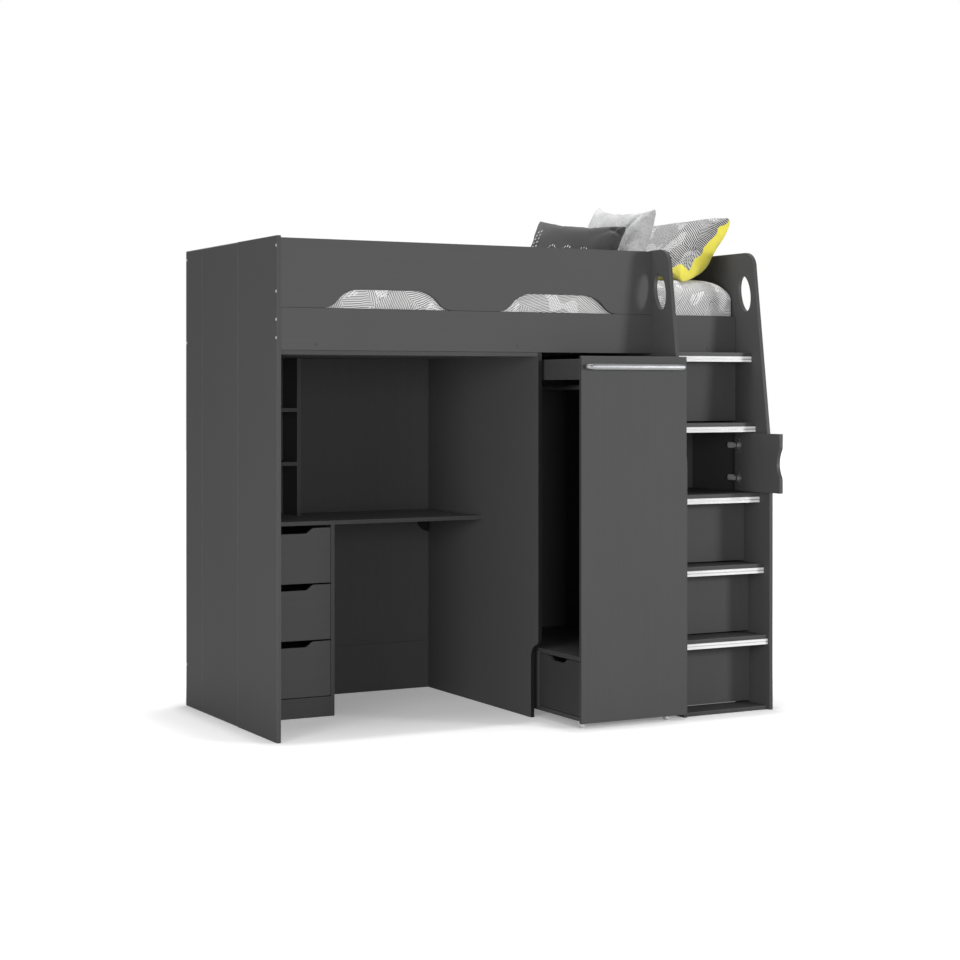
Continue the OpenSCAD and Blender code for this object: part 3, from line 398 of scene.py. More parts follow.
quiltPrint = hatchedMaterial("quilt hatching", quiltHatching)
pillowPrint = hatchedMaterial("pillow hatching", pillowHatching)
yellowCloth = plainClothMaterial("yellow cotton", (0.80, 0.72, 0.09), 900, 0.0002)
greyCloth = plainClothMaterial("pale grey knit", (0.51, 0.51, 0.515), 220, 0.0009, 0.30, 0.4)
darkCloth = plainClothMaterial("charcoal cotton", (0.037, 0.037, 0.038), 700, 0.0003, 0.14)
stitchYarn = plainClothMaterial("white yarn", (0.85, 0.85, 0.84), 1500, 0.0002)
mattressCloth = plainClothMaterial("mattress ticking", (0.74, 0.74, 0.72), 500, 0.0004)
print("materials made")

boardBevel = dict(weld=0.00001, width=0.0012, seam=0.003, segments=2, angle=radians(35))
# where two boards meet in one plane a dark line shows; the left end's seams carry a pale painted highlight
darkJoints = ("front_guard", "front_side_rail", "back_wall_upper", "back_wall_lower")
highlightSeams = ("left_end_middle_board", "left_end_back_board")


def boardIslands(mesh):
    # triangles grouped into the separate boards of a node
    co = vertexPlaces(mesh)
    _, same = np.unique(np.round(co, 5), axis=0, return_inverse=True)
    same = same.ravel()
    corners = np.array([[same[v] for v in p.vertices][:3] for p in mesh.polygons])
    label = np.arange(same.max() + 1)
    while True:
        low = label[corners].min(axis=1)
        new = label.copy()
        for k in range(3):
            np.minimum.at(new, corners[:, k], low)
        if (new == label).all():
            break
        label = new
    return co, label[same], label[corners[:, 0]]


def paintEdges(mesh):
    # the sawn edges of each board take the banding, its two faces keep the first material
    co, ofVert, ofFace = boardIslands(mesh)
    thin = {}
    for island in np.unique(ofFace):
        pts = co[ofVert == island]
        thin[island] = int(np.argmin(pts.max(axis=0) - pts.min(axis=0)))
    mesh.polygons.foreach_set("material_index", [
        0 if abs(p.normal[thin[i]]) > 0.5 else 1 for p, i in zip(mesh.polygons, ofFace)])


def bandsOf(name):
    # what a banded board wears on its sawn edges and on its rounded arrises; most arrises carry a painted highlight,
    # and the wardrobe side panel wears painted shade on both
    if name == "wardrobe_side_panel":
        return sideEdgeShade, sideEdgeShade
    band = endBand if name.startswith("left_end") else edgeBand
    if name in darkJoints:
        return band, jointShade
    return band, seamHighlight if name in highlightSeams else arrisHighlight


def dressNode(name, mat, bevel, banded):
    obj = nodes[name]
    obj.data.materials.clear()
    obj.data.materials.append(mat)
    if banded:
        for band in bandsOf(name):
            obj.data.materials.append(band)
        paintEdges(obj.data)
    if bevel:
        weld = obj.modifiers.new("joined", "WELD")
        weld.merge_threshold = boardBevel["weld"]
        edge = obj.modifiers.new("edge", "BEVEL")
        edge.width = boardBevel["seam" if name in highlightSeams else "width"]
        edge.segments = boardBevel["segments"]
        edge.angle_limit = boardBevel["angle"]
        # the bevel's faces take slot 2: a painted highlight on most boards, the dark joint on some, painted shade on
        # the wardrobe side panel
        if banded:
            edge.material = 2  # the arris


boards = (
    (boardUpright,
     "left_end_front_board left_end_middle_board left_end_back_board right_end_front_board "
     "right_end_middle_board right_end_back_board stair_partition left_stair_panel bookshelf_upright "
     "drawer_unit_side stair_risers cupboard_panels cupboard_door wardrobe_front wardrobe_right_side wardrobe_back"),
    (boardLong,
     "front_side_rail back_side_rail front_guard back_guard under_bed_board bookshelf_shelves "
     "drawer_unit_base desk_drawer_1_front desk_drawer_2_front desk_drawer_3_front stair_treads"),
    (boardDeep, "wardrobe_top wardrobe_shelf base_cabinet"),
    (backPanelShade, "back_wall_upper back_wall_lower"),
    (deskBoardLit, "desktop"),
    (sideBoardLit, "wardrobe_side_panel"),
    (lowFrontShade, "base_drawer_front"),
)
easedParts = (
    (boxBoard, "desk_drawer_1_box desk_drawer_2_box desk_drawer_3_box base_drawer_box"),
    (slatTimber, "bed_slats"), (cleatTimber, "deck_cleats"), (bracketPlastic, "desk_bracket"),
)
fittings = (
    (zincSteel, "fixed_channels wardrobe_runners castor_forks"), (hingeArmLit, "hinge_arms"),
    (hingeCupShade, "hinge_cups"), (darkTube, "hanging_rail"), (capPlastic, "cover_caps"),
    (wheelPlastic, " ".join(name for name in nodes if name.startswith("castor_wheel"))),
)
for group, bevel, banded in ((boards, True, True), (easedParts, True, False), (fittings, False, False)):
    for mat, names in group:
        for name in names.split():
            dressNode(name, mat, bevel, banded)
endCapsFrom = 0.979  # caps further out than this sit on the bed's ends, and are pale
nodes["cover_caps"].data.materials.append(paleCap)
for face in nodes["cover_caps"].data.polygons:
    face.material_index = int(abs(face.center.x) > endCapsFrom)
print("boards dressed")


def geometryTree(name, sockets):
    tree = bpy.data.node_groups.new(name, "GeometryNodeTree")
    tree.interface.new_socket(name="Geometry", in_out="INPUT", socket_type="NodeSocketGeometry")
    for label, kind, value in sockets:
        socket = tree.interface.new_socket(name=label, in_out="INPUT", socket_type=kind)
        if value is not None:
            socket.default_value = value
    tree.interface.new_socket(name="Geometry", in_out="OUTPUT", socket_type="NodeSocketGeometry")
    return tree, tree.nodes.new("NodeGroupInput"), tree.nodes.new("NodeGroupOutput")


def endTree(tree, start, end, shape, placing):
    # a copy of the shape on each point, made real, with its finish
    copies = addNode(tree, "GeometryNodeInstanceOnPoints", dict(
        placing, Points=start.outputs["Geometry"], Instance=shape.outputs[0]))
    real = addNode(tree, "GeometryNodeRealizeInstances", {"Geometry": copies.outputs[0]})
    finish = addNode(tree, "GeometryNodeSetMaterial", {
        "Geometry": real.outputs[0], "Material": start.outputs["Finish"]})
    tree.links.new(finish.outputs[0], end.inputs[0])


def runTree(name, points, tree, values, turns=None):
    # the tree starts from loose points; values go to its inputs by their labels
    obj = addMesh(name, points, [], [])
    if turns is not None:
        layer = obj.data.attributes.new("turn", "FLOAT_VECTOR", "POINT")
        layer.data.foreach_set("vector", [c for t in turns for c in t])
    mod = obj.modifiers.new("nodes", "NODES")
    mod.node_group = tree
    for item in tree.interface.items_tree:
        if item.item_type == "SOCKET" and item.in_out == "INPUT" and item.name in values:
            mod[item.identifier] = values[item.name]
    bakeModifiers(obj)
    return obj


# millimetres: the front lower edge of the top tread, and the steps down from it
stair = dict(treads=5, left=1565, front=-105, forward=26.5, low=1360, rise=272)
# metres: a tread's nosing in section, with a groove along its middle and fine ribs beside it
nosing = dict(
    length=0.380, drop=0.021, face=0.0026, foot=0.024, lip=0.0016, lipDepth=0.001, ease=0.0004,
    ribs=2, ribDepth=0.0004, ribAt=(0.15, 0.62, 0.76, 0.90), ribMargin=0.0008,
    groove=0.0030, grooveDepth=0.0017, grooveAt=0.0102, grooveSlope=0.0003, toe=0.0006,
)


def nosingProfile(n):
    # closed outline in the y-z plane, the tread's front lower edge at the origin
    pts = [(n["lipDepth"], 0.0), (n["lipDepth"], -n["lip"]), (0.0, -n["lip"] - n["ease"])]
    bottom = -n["drop"] + n["ribMargin"]
    upper, lower = -n["grooveAt"] + n["groove"] / 2, -n["grooveAt"] - n["groove"] / 2
    slope = n["grooveSlope"]
    crestFrom, crestTo, dipFrom, dipTo = n["ribAt"]
    for top, end in ((-n["lip"] - n["ribMargin"], upper), (lower, bottom)):
        pitch = (top - end) / n["ribs"]
        for i in range(n["ribs"]):
            z = top - i * pitch
            pts += [(0.0, z - crestFrom * pitch), (0.0, z - crestTo * pitch)]
            if i < n["ribs"] - 1:
                pts += [(n["ribDepth"], z - dipFrom * pitch), (n["ribDepth"], z - dipTo * pitch)]
        if end == upper:
            pts += [(0.0, upper + slope), (n["grooveDepth"], upper - slope),
                    (n["grooveDepth"], lower + slope), (0.0, lower - slope)]
    pts += [(0.0, bottom), (n["toe"], -n["drop"]), (n["face"], -n["drop"]),
            (n["face"], -n["face"]), (n["foot"], -n["face"]), (n["foot"], 0.0)]
    return pts


def makeNosings(n):
    tree, start, end = geometryTree("treadNosings", [
        ("Profile", "NodeSocketObject", None), ("Length", "NodeSocketFloat", n["length"]),
        ("Finish", "NodeSocketMaterial", None)])
    info = addNode(tree, "GeometryNodeObjectInfo", {"Object": start.outputs["Profile"]})
    outline = addNode(tree, "GeometryNodeMeshToCurve", {"Mesh": info.outputs["Geometry"]})
    fill = addNode(tree, "GeometryNodeFillCurve", {"Curve": outline.outputs[0]})
    push = addNode(tree, "ShaderNodeCombineXYZ", {"Z": start.outputs["Length"]})
    solid = {"Mesh": fill.outputs[0], "Offset": push.outputs[0], "Individual": False}
    extrude = addNode(tree, "GeometryNodeExtrudeMesh", solid)
    flipped = addNode(tree, "GeometryNodeFlipFaces", {"Mesh": fill.outputs[0]})
    joined = addNode(tree, "GeometryNodeJoinGeometry", {})
    for part in (extrude, flipped):
        tree.links.new(part.outputs[0], joined.inputs[0])
    welded = addNode(tree, "GeometryNodeMergeByDistance", {"Geometry": joined.outputs[0], "Distance": 0.00002})
    endTree(tree, start, end, welded, {})

    outlinePts = nosingProfile(n)
    count = len(outlinePts)
    profile = bpy.data.meshes.new("nosingProfile")
    profile.from_pydata([(*p, 0) for p in outlinePts], [(i, (i + 1) % count) for i in range(count)], [])
    helper = addObject("nosingProfile", profile)
    spots = [bedPoint(stair["left"], stair["front"] - stair["forward"] * k, stair["low"] - stair["rise"] * k)
             for k in range(stair["treads"])]
    # the profile lies in x-y and is pushed along z, so the result is turned in the mesh afterwards
    obj = runTree("treadNosings", [(p.y, p.z, p.x) for p in spots], tree,
                  {"Profile": helper, "Length": n["length"], "Finish": nosingMetal})
    for v in obj.data.vertices:
        v.co = (v.co.z, v.co.x, v.co.y)
    # the faces inside each nosing's groove take the darker copy: painted shade
    obj.data.materials.append(grooveShade)
    for face in obj.data.polygons:
        spot = min(spots, key=lambda s: abs(s.z - n["drop"] / 2 - face.center.z))
        inGroove = abs(spot.z - n["grooveAt"] - face.center.z) < n["groove"] / 2
        face.material_index = int(inGroove and 0.0 < face.center.y - spot.y < n["face"] * 0.9)
    bpy.data.objects.remove(helper)
    return obj


treadNosings = makeNosings(nosing)
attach(treadNosings, "bed")
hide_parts("tread_nosings")
print("nosings:", len(treadNosings.data.polygons), "faces")

# millimetres; the ends taper over the last part of the bar, to endHeight of its section
handle = dict(length=436, height=22, depth=9, out=32, bend=14, ring=28, endHeight=0.68, taper=22,
              bendSteps=10, barSteps=24)


def handlePath(half, reach, bend, h):
    # from the left footplate out, along the bar and back to the right one
    straight = reach - bend
    turns = [pi / 2 * i / h["bendSteps"] for i in range(h["bendSteps"] + 1)]
    left = [(-half, 0.0, 0.0), (-half, -straight * 0.5, 0.0)]
    left += [(-half + bend - bend * cos(a), -straight - bend * sin(a), 0.0) for a in turns]
    steps = h["barSteps"]
    bar = [((half - bend) * (2 * i / steps - 1), -reach, 0.0) for i in range(1, steps)]
    return left + bar + [(-x, y, z) for x, y, z in reversed(left)]


def makeHandle(h):
    # flat oval section swept along the bar and its two returns
    low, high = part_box("wardrobe_handle")
    foot = Vector(((low[0] + high[0]) / 2, high[1], (low[2] + high[2]) / 2))
    half = (h["length"] - h["depth"]) / 2000
    path = handlePath(half, (h["out"] - h["depth"] / 2) / 1000, h["bend"] / 1000, h)
    depth, height = h["depth"] / 2000, h["height"] / 2000
    verts = []
    for i, p in enumerate(path):
        along = (Vector(path[min(len(path) - 1, i + 1)]) - Vector(path[max(0, i - 1)])).normalized()
        out = Vector((along.y, -along.x, 0))
        full = min(1.0, h["endHeight"] + (1 - h["endHeight"]) * (half - abs(p[0])) / (h["taper"] / 1000))
        for j in range(h["ring"]):
            t = 2 * pi * (j + 0.5) / h["ring"]
            spot = Vector(p) + out * (depth * cos(t)) + Vector((0, 0, full * height * sin(t)))
            verts.append(spot + foot)
    # the rings run the other way round here, so each face is turned over
    faces = [(f[0], *f[:0:-1]) for f in ringFaces(len(path), h["ring"])]
    obj = addMesh("wardrobeHandle", verts, faces, [handleMetal])
    for face in obj.data.polygons:
        face.use_smooth = len(face.vertices) == 4
    return obj


wardrobeHandle = makeHandle(handle)
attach(wardrobeHandle, "wardrobe")
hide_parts("wardrobe_handle")
print("handle made")


def cornerRing(lx, ly, corner, inset, count):
    # points evenly spaced round a rectangle with round corners; rounder where it is drawn in
    hx, hy = lx / 2 - inset, ly / 2 - inset
    r = min(corner + 0.8 * inset, hy - 0.001)
    across, deep = hx - r, hy - r
    corners = ((across, -deep), (across, deep), (-across, deep), (-across, -deep))
    runs = (2 * deep, 2 * across, 2 * deep, 2 * across)
    arc = pi * r / 2
    total = sum(runs) + 4 * arc
    pts = []
    for i in range(count):
        d = total * i / count
        for k, (x, y) in enumerate(corners):
            heading = pi / 2 * k
            c, s = cos(heading), sin(heading)
            if d < runs[k]:
                pts.append((x + r * c - d * s, y + r * s + d * c))
                break
            d -= runs[k]
            if d < arc:
                x, y = corners[(k + 1) % 4]
                pts.append((x + r * cos(heading + d / r), y + r * sin(heading + d / r)))
                break
            d -= arc
    return pts


# box, low and top in bed millimetres, the rest in metres
quiltSize = dict(
    x=(15.8, 1944.2), y=(15.8, 914.2), low=1450, top=1662, corner=0.014, edge=0.080, crown=0.002,
    thickness=0.006, around=360, sideRows=10, edgeRows=16, topRows=34, lastInset=0.006,
    broad=0.0055, broadNoise=(3.1, 3.6, 4.0), small=0.001, smallNoise=(24.0, 24.0, 30.0), fold=0.003, onSides=0.5,
    hill=0.009, hillAt=(1815, 95), hillSize=(0.13, 0.10),
)


def makeQuilt(q):
    # a shell from its low hem, over a rounded edge, to the middle of its top
    lx, ly = (q["x"][1] - q["x"][0]) / 1000, (q["y"][1] - q["y"][0]) / 1000
    mid = bedPoint(sum(q["x"]) / 2, sum(q["y"]) / 2, 0)
    low, high, edge, crown = q["low"] / 1000, q["top"] / 1000, q["edge"], q["crown"]
    # each row is its inset and height
    rows = [(0.0, low + (high - crown - edge - low) * i / q["sideRows"]) for i in range(q["sideRows"])]
    for i in range(q["edgeRows"]):
        a = pi / 2 * i / q["edgeRows"]
        rows.append((edge * (1 - cos(a)), high - crown - edge * (1 - sin(a))))
    for i in range(q["topRows"] + 1):
        t = i / q["topRows"]
        rows.append((edge + (ly / 2 - edge - q["lastInset"]) * t, high - crown * (1 - sin(pi / 2 * t))))
    verts, flat = [], []
    for inset, z in rows:
        # the sides unfold outwards from the top
        fall = max(0.0, (high - crown) - z) if inset < edge else 0.0
        for px, py in cornerRing(lx, ly, q["corner"], inset, q["around"]):
            verts.append(Vector((mid.x + px, mid.y + py, z)))
            if abs(px) / (lx / 2) > abs(py) / (ly / 2):
                flat.append((px + copysign(fall, px), py))
            else:
                flat.append((px, py + copysign(fall, py)))
    obj = addMesh("quiltCloth", verts, ringFaces(len(rows), q["around"], capped=False), [quiltPrint])
    addFlatPlaces(obj, flat)
    rippleQuilt(obj, q)
    solid = obj.modifiers.new("thickness", "SOLIDIFY")
    solid.thickness = q["thickness"]
    bakeModifiers(obj)
    return obj


def softNoise(p, scale):
    return noise.noise(Vector([c * k for c, k in zip(p, scale)])) * 0.5 + 0.5


def rippleQuilt(obj, q):
    # broad soft hollows on top, shallow puckers down the sides, all inwards
    hill = bedPoint(*q["hillAt"], 0)
    obj.data.update()
    normals = [v.normal.copy() for v in obj.data.vertices]
    for v, n in zip(obj.data.vertices, normals):
        p = v.co
        foldAt = Vector((p.x * 6.0 + 4.0, p.y * 6.0, p.z * 5.0))
        fold = noise.ridged_multi_fractal(foldAt, 1.0, 2.1, 2, 1.0, 2.0) * 0.25
        broad, small = softNoise(p, q["broadNoise"]), softNoise(p, q["smallNoise"])
        depth = q["broad"] * broad + q["fold"] * fold + q["small"] * small
        if n.z < 0.5:
            depth *= q["onSides"]
        # the quilt swells a little beside the head end's front corner
        far = ((p.x - hill.x) / q["hillSize"][0]) ** 2 + ((p.y - hill.y) / q["hillSize"][1]) ** 2
        v.co = p - n * depth + Vector((0, 0, q["hill"] * exp(-far) * max(0.0, n.z)))


quilt = makeQuilt(quiltSize)
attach(quilt, "bed")
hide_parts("quilt")
print("quilt:", len(quilt.data.polygons), "faces")

# low, top and middle in bed millimetres, the rest in metres
mattressSize = dict(low=1410, top=1580, middle=(980, 465), length=1.883, width=0.873, corner=0.04,
                    pipe=0.006, pipeIn=0.007, pipeUp=0.008, sideHollow=0.004, steps=8, around=220)


def makeMattress(m):
    # foam block in ticking, with piped edges top and bottom
    low, high = m["low"] / 1000, m["top"] / 1000
    mid = bedPoint(*m["middle"], 0)
    turns = [pi * i / m["steps"] for i in range(m["steps"] + 1)]

    def piping(middle):
        return [(m["pipeIn"] - m["pipe"] * sin(a), middle - m["pipe"] * cos(a)) for a in turns]

    side, wall = low + 2 * m["pipeUp"], high - low - 4 * m["pipeUp"]
    rows = [(0.10, low + 0.001), (0.02, low + 0.001)] + piping(low + m["pipeUp"])
    rows += [(m["pipe"] - m["sideHollow"] * sin(a), side + wall * a / pi) for a in turns]
    rows += piping(high - m["pipeUp"]) + [(0.02, high - 0.001), (0.10, high), (0.30, high)]
    verts = []
    for inset, z in rows:
        ring = cornerRing(m["length"], m["width"], m["corner"], max(0.0, inset), m["around"])
        verts += [Vector((mid.x + x, mid.y + y, z)) for x, y in ring]
    obj = addMesh("mattressBlock", verts, ringFaces(len(rows), m["around"]), [mattressCloth])
    addFlatPlaces(obj, [(v.co.x + v.co.z * 0.7, v.co.y + v.co.z * 0.7) for v in obj.data.vertices])
    return obj


mattressPiece = makeMattress(mattressSize)
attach(mattressPiece, "bed")
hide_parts("mattress")
print("mattress made")

# sizes, places and settle in millimetres, folds, bulges, draws and wrap in metres, turns in degrees
pillowShape = dict(front=0.8, back=0.8, swell=1.0, drawY=0.006, drawX=0.004, ear=6, fans=9, crease=0.0035,
                   folds=(), bulges=(), wrap=None)
pillows = dict(
    patterned=dict(
        width=600, height=345, thick=120, seed=1.3, heading=-90, lean=43, roll=0, settle=0,
        x=bed["headInside"] - 345 / 2 * sin(radians(43)), y=bed["board"] + 25 + 300,
        shape=dict(pillowShape, back=0.5, swell=1.2, fans=7, crease=0.005,
                   bulges=((0.250, -0.030, 0.075, 0.020),), wrap=(0.13, 0.072))),
    grey=dict(
        width=450, height=298, thick=120, seed=4.1, heading=-90, lean=18, roll=-6, settle=5.8,
        x=bed["headInside"] - 372, y=bed["board"] + 60 + 225,
        shape=dict(pillowShape, drawY=0.016, ear=9, fans=11, crease=0.005,
                   folds=((0.13, 0.03, 62, 0.10), (0.16, -0.03, 100, 0.05)))),
    dark=dict(
        width=458, height=227, thick=100, seed=7.7, heading=-70, lean=22, roll=-6.5, settle=10,
        x=bed["headInside"] - 590, y=bed["board"] + 17 + 229,
        shape=dict(pillowShape, drawY=0.0005, folds=((0.203, 0.078, -17, 0.030),))),
)
sewing = dict(cell=9.0, grow=1.04, lastFrame=40, firstStop=4, puff=(0.004, 0.012), jog=0.0012)
sewnCloth = dict(
    use_pressure=True, uniform_pressure_force=6.0, mass=0.25, tension_stiffness=25,
    compression_stiffness=25, shear_stiffness=8, bending_stiffness=0.15, shrink_min=-0.02,
)
relief = dict(earReach=0.075, earStart=0.02, rim=0.12, hollow=0.004, hollowNoise=8, fold=0.009, foldWidth=0.007)


def pillowPlace(p):
    # the same stand as the solid: on its long edge on the quilt, turned and leaning
    roll = radians(p["roll"])
    tall = p["height"] / 2 * cos(roll) + p["width"] / 2 * abs(sin(roll))
    up = tall * cos(radians(p["lean"])) - p["settle"]
    spot = bedPoint(p["x"], p["y"], quiltSize["top"] + 0.5 + up)
    return (Matrix.Translation(spot) @ Matrix.Rotation(radians(p["heading"]), 4, "Z")
            @ Matrix.Rotation(radians(90 - p["lean"]), 4, "X") @ Matrix.Rotation(roll, 4, "Z"))


def blowUp(obj, thick):
    # Cloth with pressure, stopped at the solid's thickness
    mod = obj.modifiers.new("cloth", "CLOTH")
    for key, value in sewnCloth.items():
        setattr(mod.settings, key, value)
    mod.settings.effector_weights.gravity = 0
    for f in range(1, sewing["lastFrame"]):
        scene.frame_set(f)
        blown = obj.evaluated_get(bpy.context.evaluated_depsgraph_get()).data
        if f > sewing["firstStop"] and float(np.ptp(vertexPlaces(blown)[:, 2])) > thick:
            break
    print(obj.name, "blown up in", f, "frames")
    bakeModifiers(obj)
    scene.frame_set(1)


def fitPillow(obj, w, h, thick):
    # ears reach the corners of the solid, the crown its thickness
    pts = vertexPlaces(obj.data)
    low, high = pts.min(axis=0), pts.max(axis=0)
    pts = (pts - (high + low) / 2) * (np.array([w, h, thick]) / (high - low))
    obj.data.vertices.foreach_set("co", pts.ravel())
    obj.data.update()


def earCreases(x, y, w, h, shape, seed):
    # creases that fan out of the four ears
    total = 0.0
    for ex in (-1, 1):
        for ey in (-1, 1):
            dx, dy = x - ex * w / 2, y - ey * h / 2
            far = hypot(dx, dy)
            fan = sin(atan2(dy, dx) * shape["fans"] + seed * ex + ey)
            total += fan * exp(-far / relief["earReach"]) * min(1.0, far / relief["earStart"])
    return total


def sharpFolds(x, y, folds):
    total = 0.0
    for fx, fy, turn, length in folds:
        c, s = cos(radians(turn)), sin(radians(turn))
        along, across = (x - fx) * c + (y - fy) * s, -(x - fx) * s + (y - fy) * c
        total += exp(-(across / relief["foldWidth"]) ** 2) * exp(-(along / length) ** 4)
    return total


def shapePillow(obj, w, h, thick, shape, seed):
    # fuller faces, edges drawn in between the ears, creases, soft hollows and sharp folds
    for v in obj.data.vertices:
        x, y, z = v.co
        side = 1 if z > 0 else -1
        u, t = max(-1.0, min(1.0, 2 * x / w)), max(-1.0, min(1.0, 2 * y / h))
        full = min(1.0, abs(z) / (thick / 2)) ** shape["front" if side > 0 else "back"]
        z = side * thick / 2 * full * (shape["swell"] if side < 0 else 1.0)
        y -= copysign(shape["drawY"], t) * abs(t) ** 2 * max(0.0, 1 - abs(u) ** shape["ear"])
        x -= copysign(shape["drawX"], u) * abs(u) ** 2 * max(0.0, 1 - abs(t) ** shape["ear"])
        inside = min(1.0, abs(z) / (thick * relief["rim"]))
        crease = earCreases(x, y, w, h, shape, seed)
        scale = relief["hollowNoise"]
        hollow = noise.noise(Vector((x * scale + seed, y * scale, side * 3.0)))
        fold = sharpFolds(x, y, shape["folds"]) if side > 0 else 0.0
        if side < 0:
            for bx, by, radius, rise in shape["bulges"]:
                z -= rise * inside * exp(-((x - bx) ** 2 + (y - by) ** 2) / radius ** 2)
        dents = shape["crease"] * crease + relief["hollow"] * hollow - relief["fold"] * fold
        v.co = (x, y, z + side * inside * dents)
    if shape["wrap"]:
        # the backing cloth turns over the lower corner on to the face
        for face in obj.data.polygons:
            x, y, z = face.center
            if (w / 2 - x) / shape["wrap"][0] + (y + h / 2) / shape["wrap"][1] < 1:
                face.material_index = 1


def sewPillow(name, p, mats):
    # two flat cloths sewn round the edge and blown up, then fitted to the solid's size
    w, h, thick = p["width"] / 1000, p["height"] / 1000, p["thick"] / 1000
    nx, ny = int(p["width"] / sewing["cell"]), int(p["height"] / sewing["cell"])
    grow = sewing["grow"]
    low, rise = sewing["puff"]
    verts, flat, faces, side = [], [], [], []
    index = {}
    for layer in (1, -1):
        for j in range(ny + 1):
            for i in range(nx + 1):
                rim = i in (0, nx) or j in (0, ny)
                if rim and layer == -1:
                    index[(layer, i, j)] = index[(1, i, j)]
                    continue
                u, v = 2 * i / nx - 1, 2 * j / ny - 1
                index[(layer, i, j)] = len(verts)
                puff = 0.0 if rim else low + rise * (1 - u * u) * (1 - v * v)
                jog = noise.noise(Vector((u * 3 + p["seed"], v * 3, layer * 2.0))) * sewing["jog"]
                verts.append(Vector((u * w / 2 * grow, v * h / 2 * grow, layer * (puff + jog))))
                flat.append((u * w / 2, v * h / 2))
    for layer in (1, -1):
        for j in range(ny):
            for i in range(nx):
                quad = [index[(layer, a, b)] for a, b in ((i, j), (i + 1, j), (i + 1, j + 1), (i, j + 1))]
                faces.append(tuple(quad[::layer]))
                side.append(int(layer == -1 and len(mats) == 2))
    obj = addMesh(name, verts, faces, mats, side)
    addFlatPlaces(obj, flat)
    blowUp(obj, thick)
    fitPillow(obj, w, h, thick)
    obj.modifiers.new("smooth", "SUBSURF").levels = 1
    bakeModifiers(obj)
    shapePillow(obj, w, h, thick, p["shape"], p["seed"])
    obj.data.transform(pillowPlace(p))
    obj.data.update()
    return obj


def pillowPiece(key, name, node, mats):
    obj = sewPillow(name, pillows[key], mats)
    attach(obj, "bed")
    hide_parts(node)
    print(name, len(obj.data.polygons), "faces")
    return obj


pillowPiece("patterned", "patternedPillow", "patterned_pillow", [pillowPrint, yellowCloth])
pillowPiece("grey", "greyCushion", "grey_cushion", [greyCloth])
darkCushion = pillowPiece("dark", "darkCushion", "dark_cushion", [darkCloth])

# metres on the dark cushion's face, from its middle; slants in radians
stitch = dict(
    length=0.0095, thick=0.0034, flat=0.6, rise=0.0005, seed=3, sizes=(0.85, 1.15),
    rows=8, rowsTop=0.049, rowPitch=0.0165, rowDrift=0.0003, columns=2, columnX=-0.180, columnGap=(0.018, 0.004),
    slant=0.75, arches=3, archX=-0.067, archPitch=0.082, archY=-0.027, archSize=(0.021, 0.019),
    archTurns=(-72, -36, 0, 36, 72), archSlant=0.35, archFollow=0.4,
)


def stitchPlan(s):
    # slanted dashes in columns beside the far edge, and small arches of dashes below the middle
    marks = []
    for row in range(s["rows"]):
        for col in range(s["columns"]):
            x = s["columnX"] + col * s["columnGap"][0] + row * s["rowDrift"]
            marks.append((x, s["rowsTop"] - row * s["rowPitch"] + col * s["columnGap"][1], s["slant"]))
    for arch in range(s["arches"]):
        x = s["archX"] + arch * s["archPitch"]
        for turn in s["archTurns"]:
            a = radians(turn)
            slant = s["archSlant"] * copysign(1, -turn) + a * s["archFollow"]
            marks.append((x + s["archSize"][0] * sin(a), s["archY"] + s["archSize"][1] * cos(a), slant))
    return marks


def stitchSpots(s):
    # each mark is dropped on to the cushion's face; its turn lays it along the cloth
    place = pillowPlace(pillows["dark"])
    flat = place.inverted()
    cover = BVHTree.FromPolygons(
        [flat @ v.co for v in darkCushion.data.vertices], [tuple(p.vertices) for p in darkCushion.data.polygons])
    points, turns = [], []
    for x, y, angle in stitchPlan(s):
        hit, normal, _, _ = cover.ray_cast(Vector((x, y, 0.2)), Vector((0, 0, -1)))
        axisZ = (place.to_3x3() @ normal).normalized()
        along = place.to_3x3() @ Vector((sin(angle), cos(angle), 0))
        axisX = (along - axisZ * along.dot(axisZ)).normalized()
        turns.append(tuple(Matrix((axisX, axisZ.cross(axisX), axisZ)).transposed().to_euler()))
        points.append(place @ (hit + normal * s["rise"]))
    return points, turns


def makeStitches(s):
    tree, start, end = geometryTree("cushionStitches", [
        ("Stitch length", "NodeSocketFloat", s["length"]), ("Thickness", "NodeSocketFloat", s["thick"]),
        ("Seed", "NodeSocketInt", s["seed"]), ("Finish", "NodeSocketMaterial", None)])
    thick = start.outputs["Thickness"]
    bead = addNode(tree, "GeometryNodeMeshUVSphere", {"Segments": 8, "Rings": 5, "Radius": 0.5})
    ratio = addNode(tree, "ShaderNodeCombineXYZ", {
        "X": start.outputs["Stitch length"], "Y": thick, "Z": calc(tree, "MULTIPLY", thick, s["flat"])})
    shaped = addNode(tree, "GeometryNodeTransform", {"Geometry": bead.outputs[0], "Scale": ratio.outputs[0]})
    turn = addNode(tree, "GeometryNodeInputNamedAttribute", {"Name": "turn"}, data_type="FLOAT_VECTOR")
    size = addNode(tree, "FunctionNodeRandomValue", {
        2: s["sizes"][0], 3: s["sizes"][1], "Seed": start.outputs["Seed"]})
    endTree(tree, start, end, shaped, {"Rotation": turn.outputs["Attribute"], "Scale": size.outputs[1]})
    points, turns = stitchSpots(s)
    obj = runTree("cushionStitches", points, tree, {
        "Stitch length": s["length"], "Thickness": s["thick"], "Seed": s["seed"], "Finish": stitchYarn}, turns)
    addFlatPlaces(obj, [(v.co.x, v.co.z) for v in obj.data.vertices])
    return obj


cushionStitches = makeStitches(stitch)
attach(cushionStitches, "bed")
print("stitches:", len(cushionStitches.data.polygons), "faces")

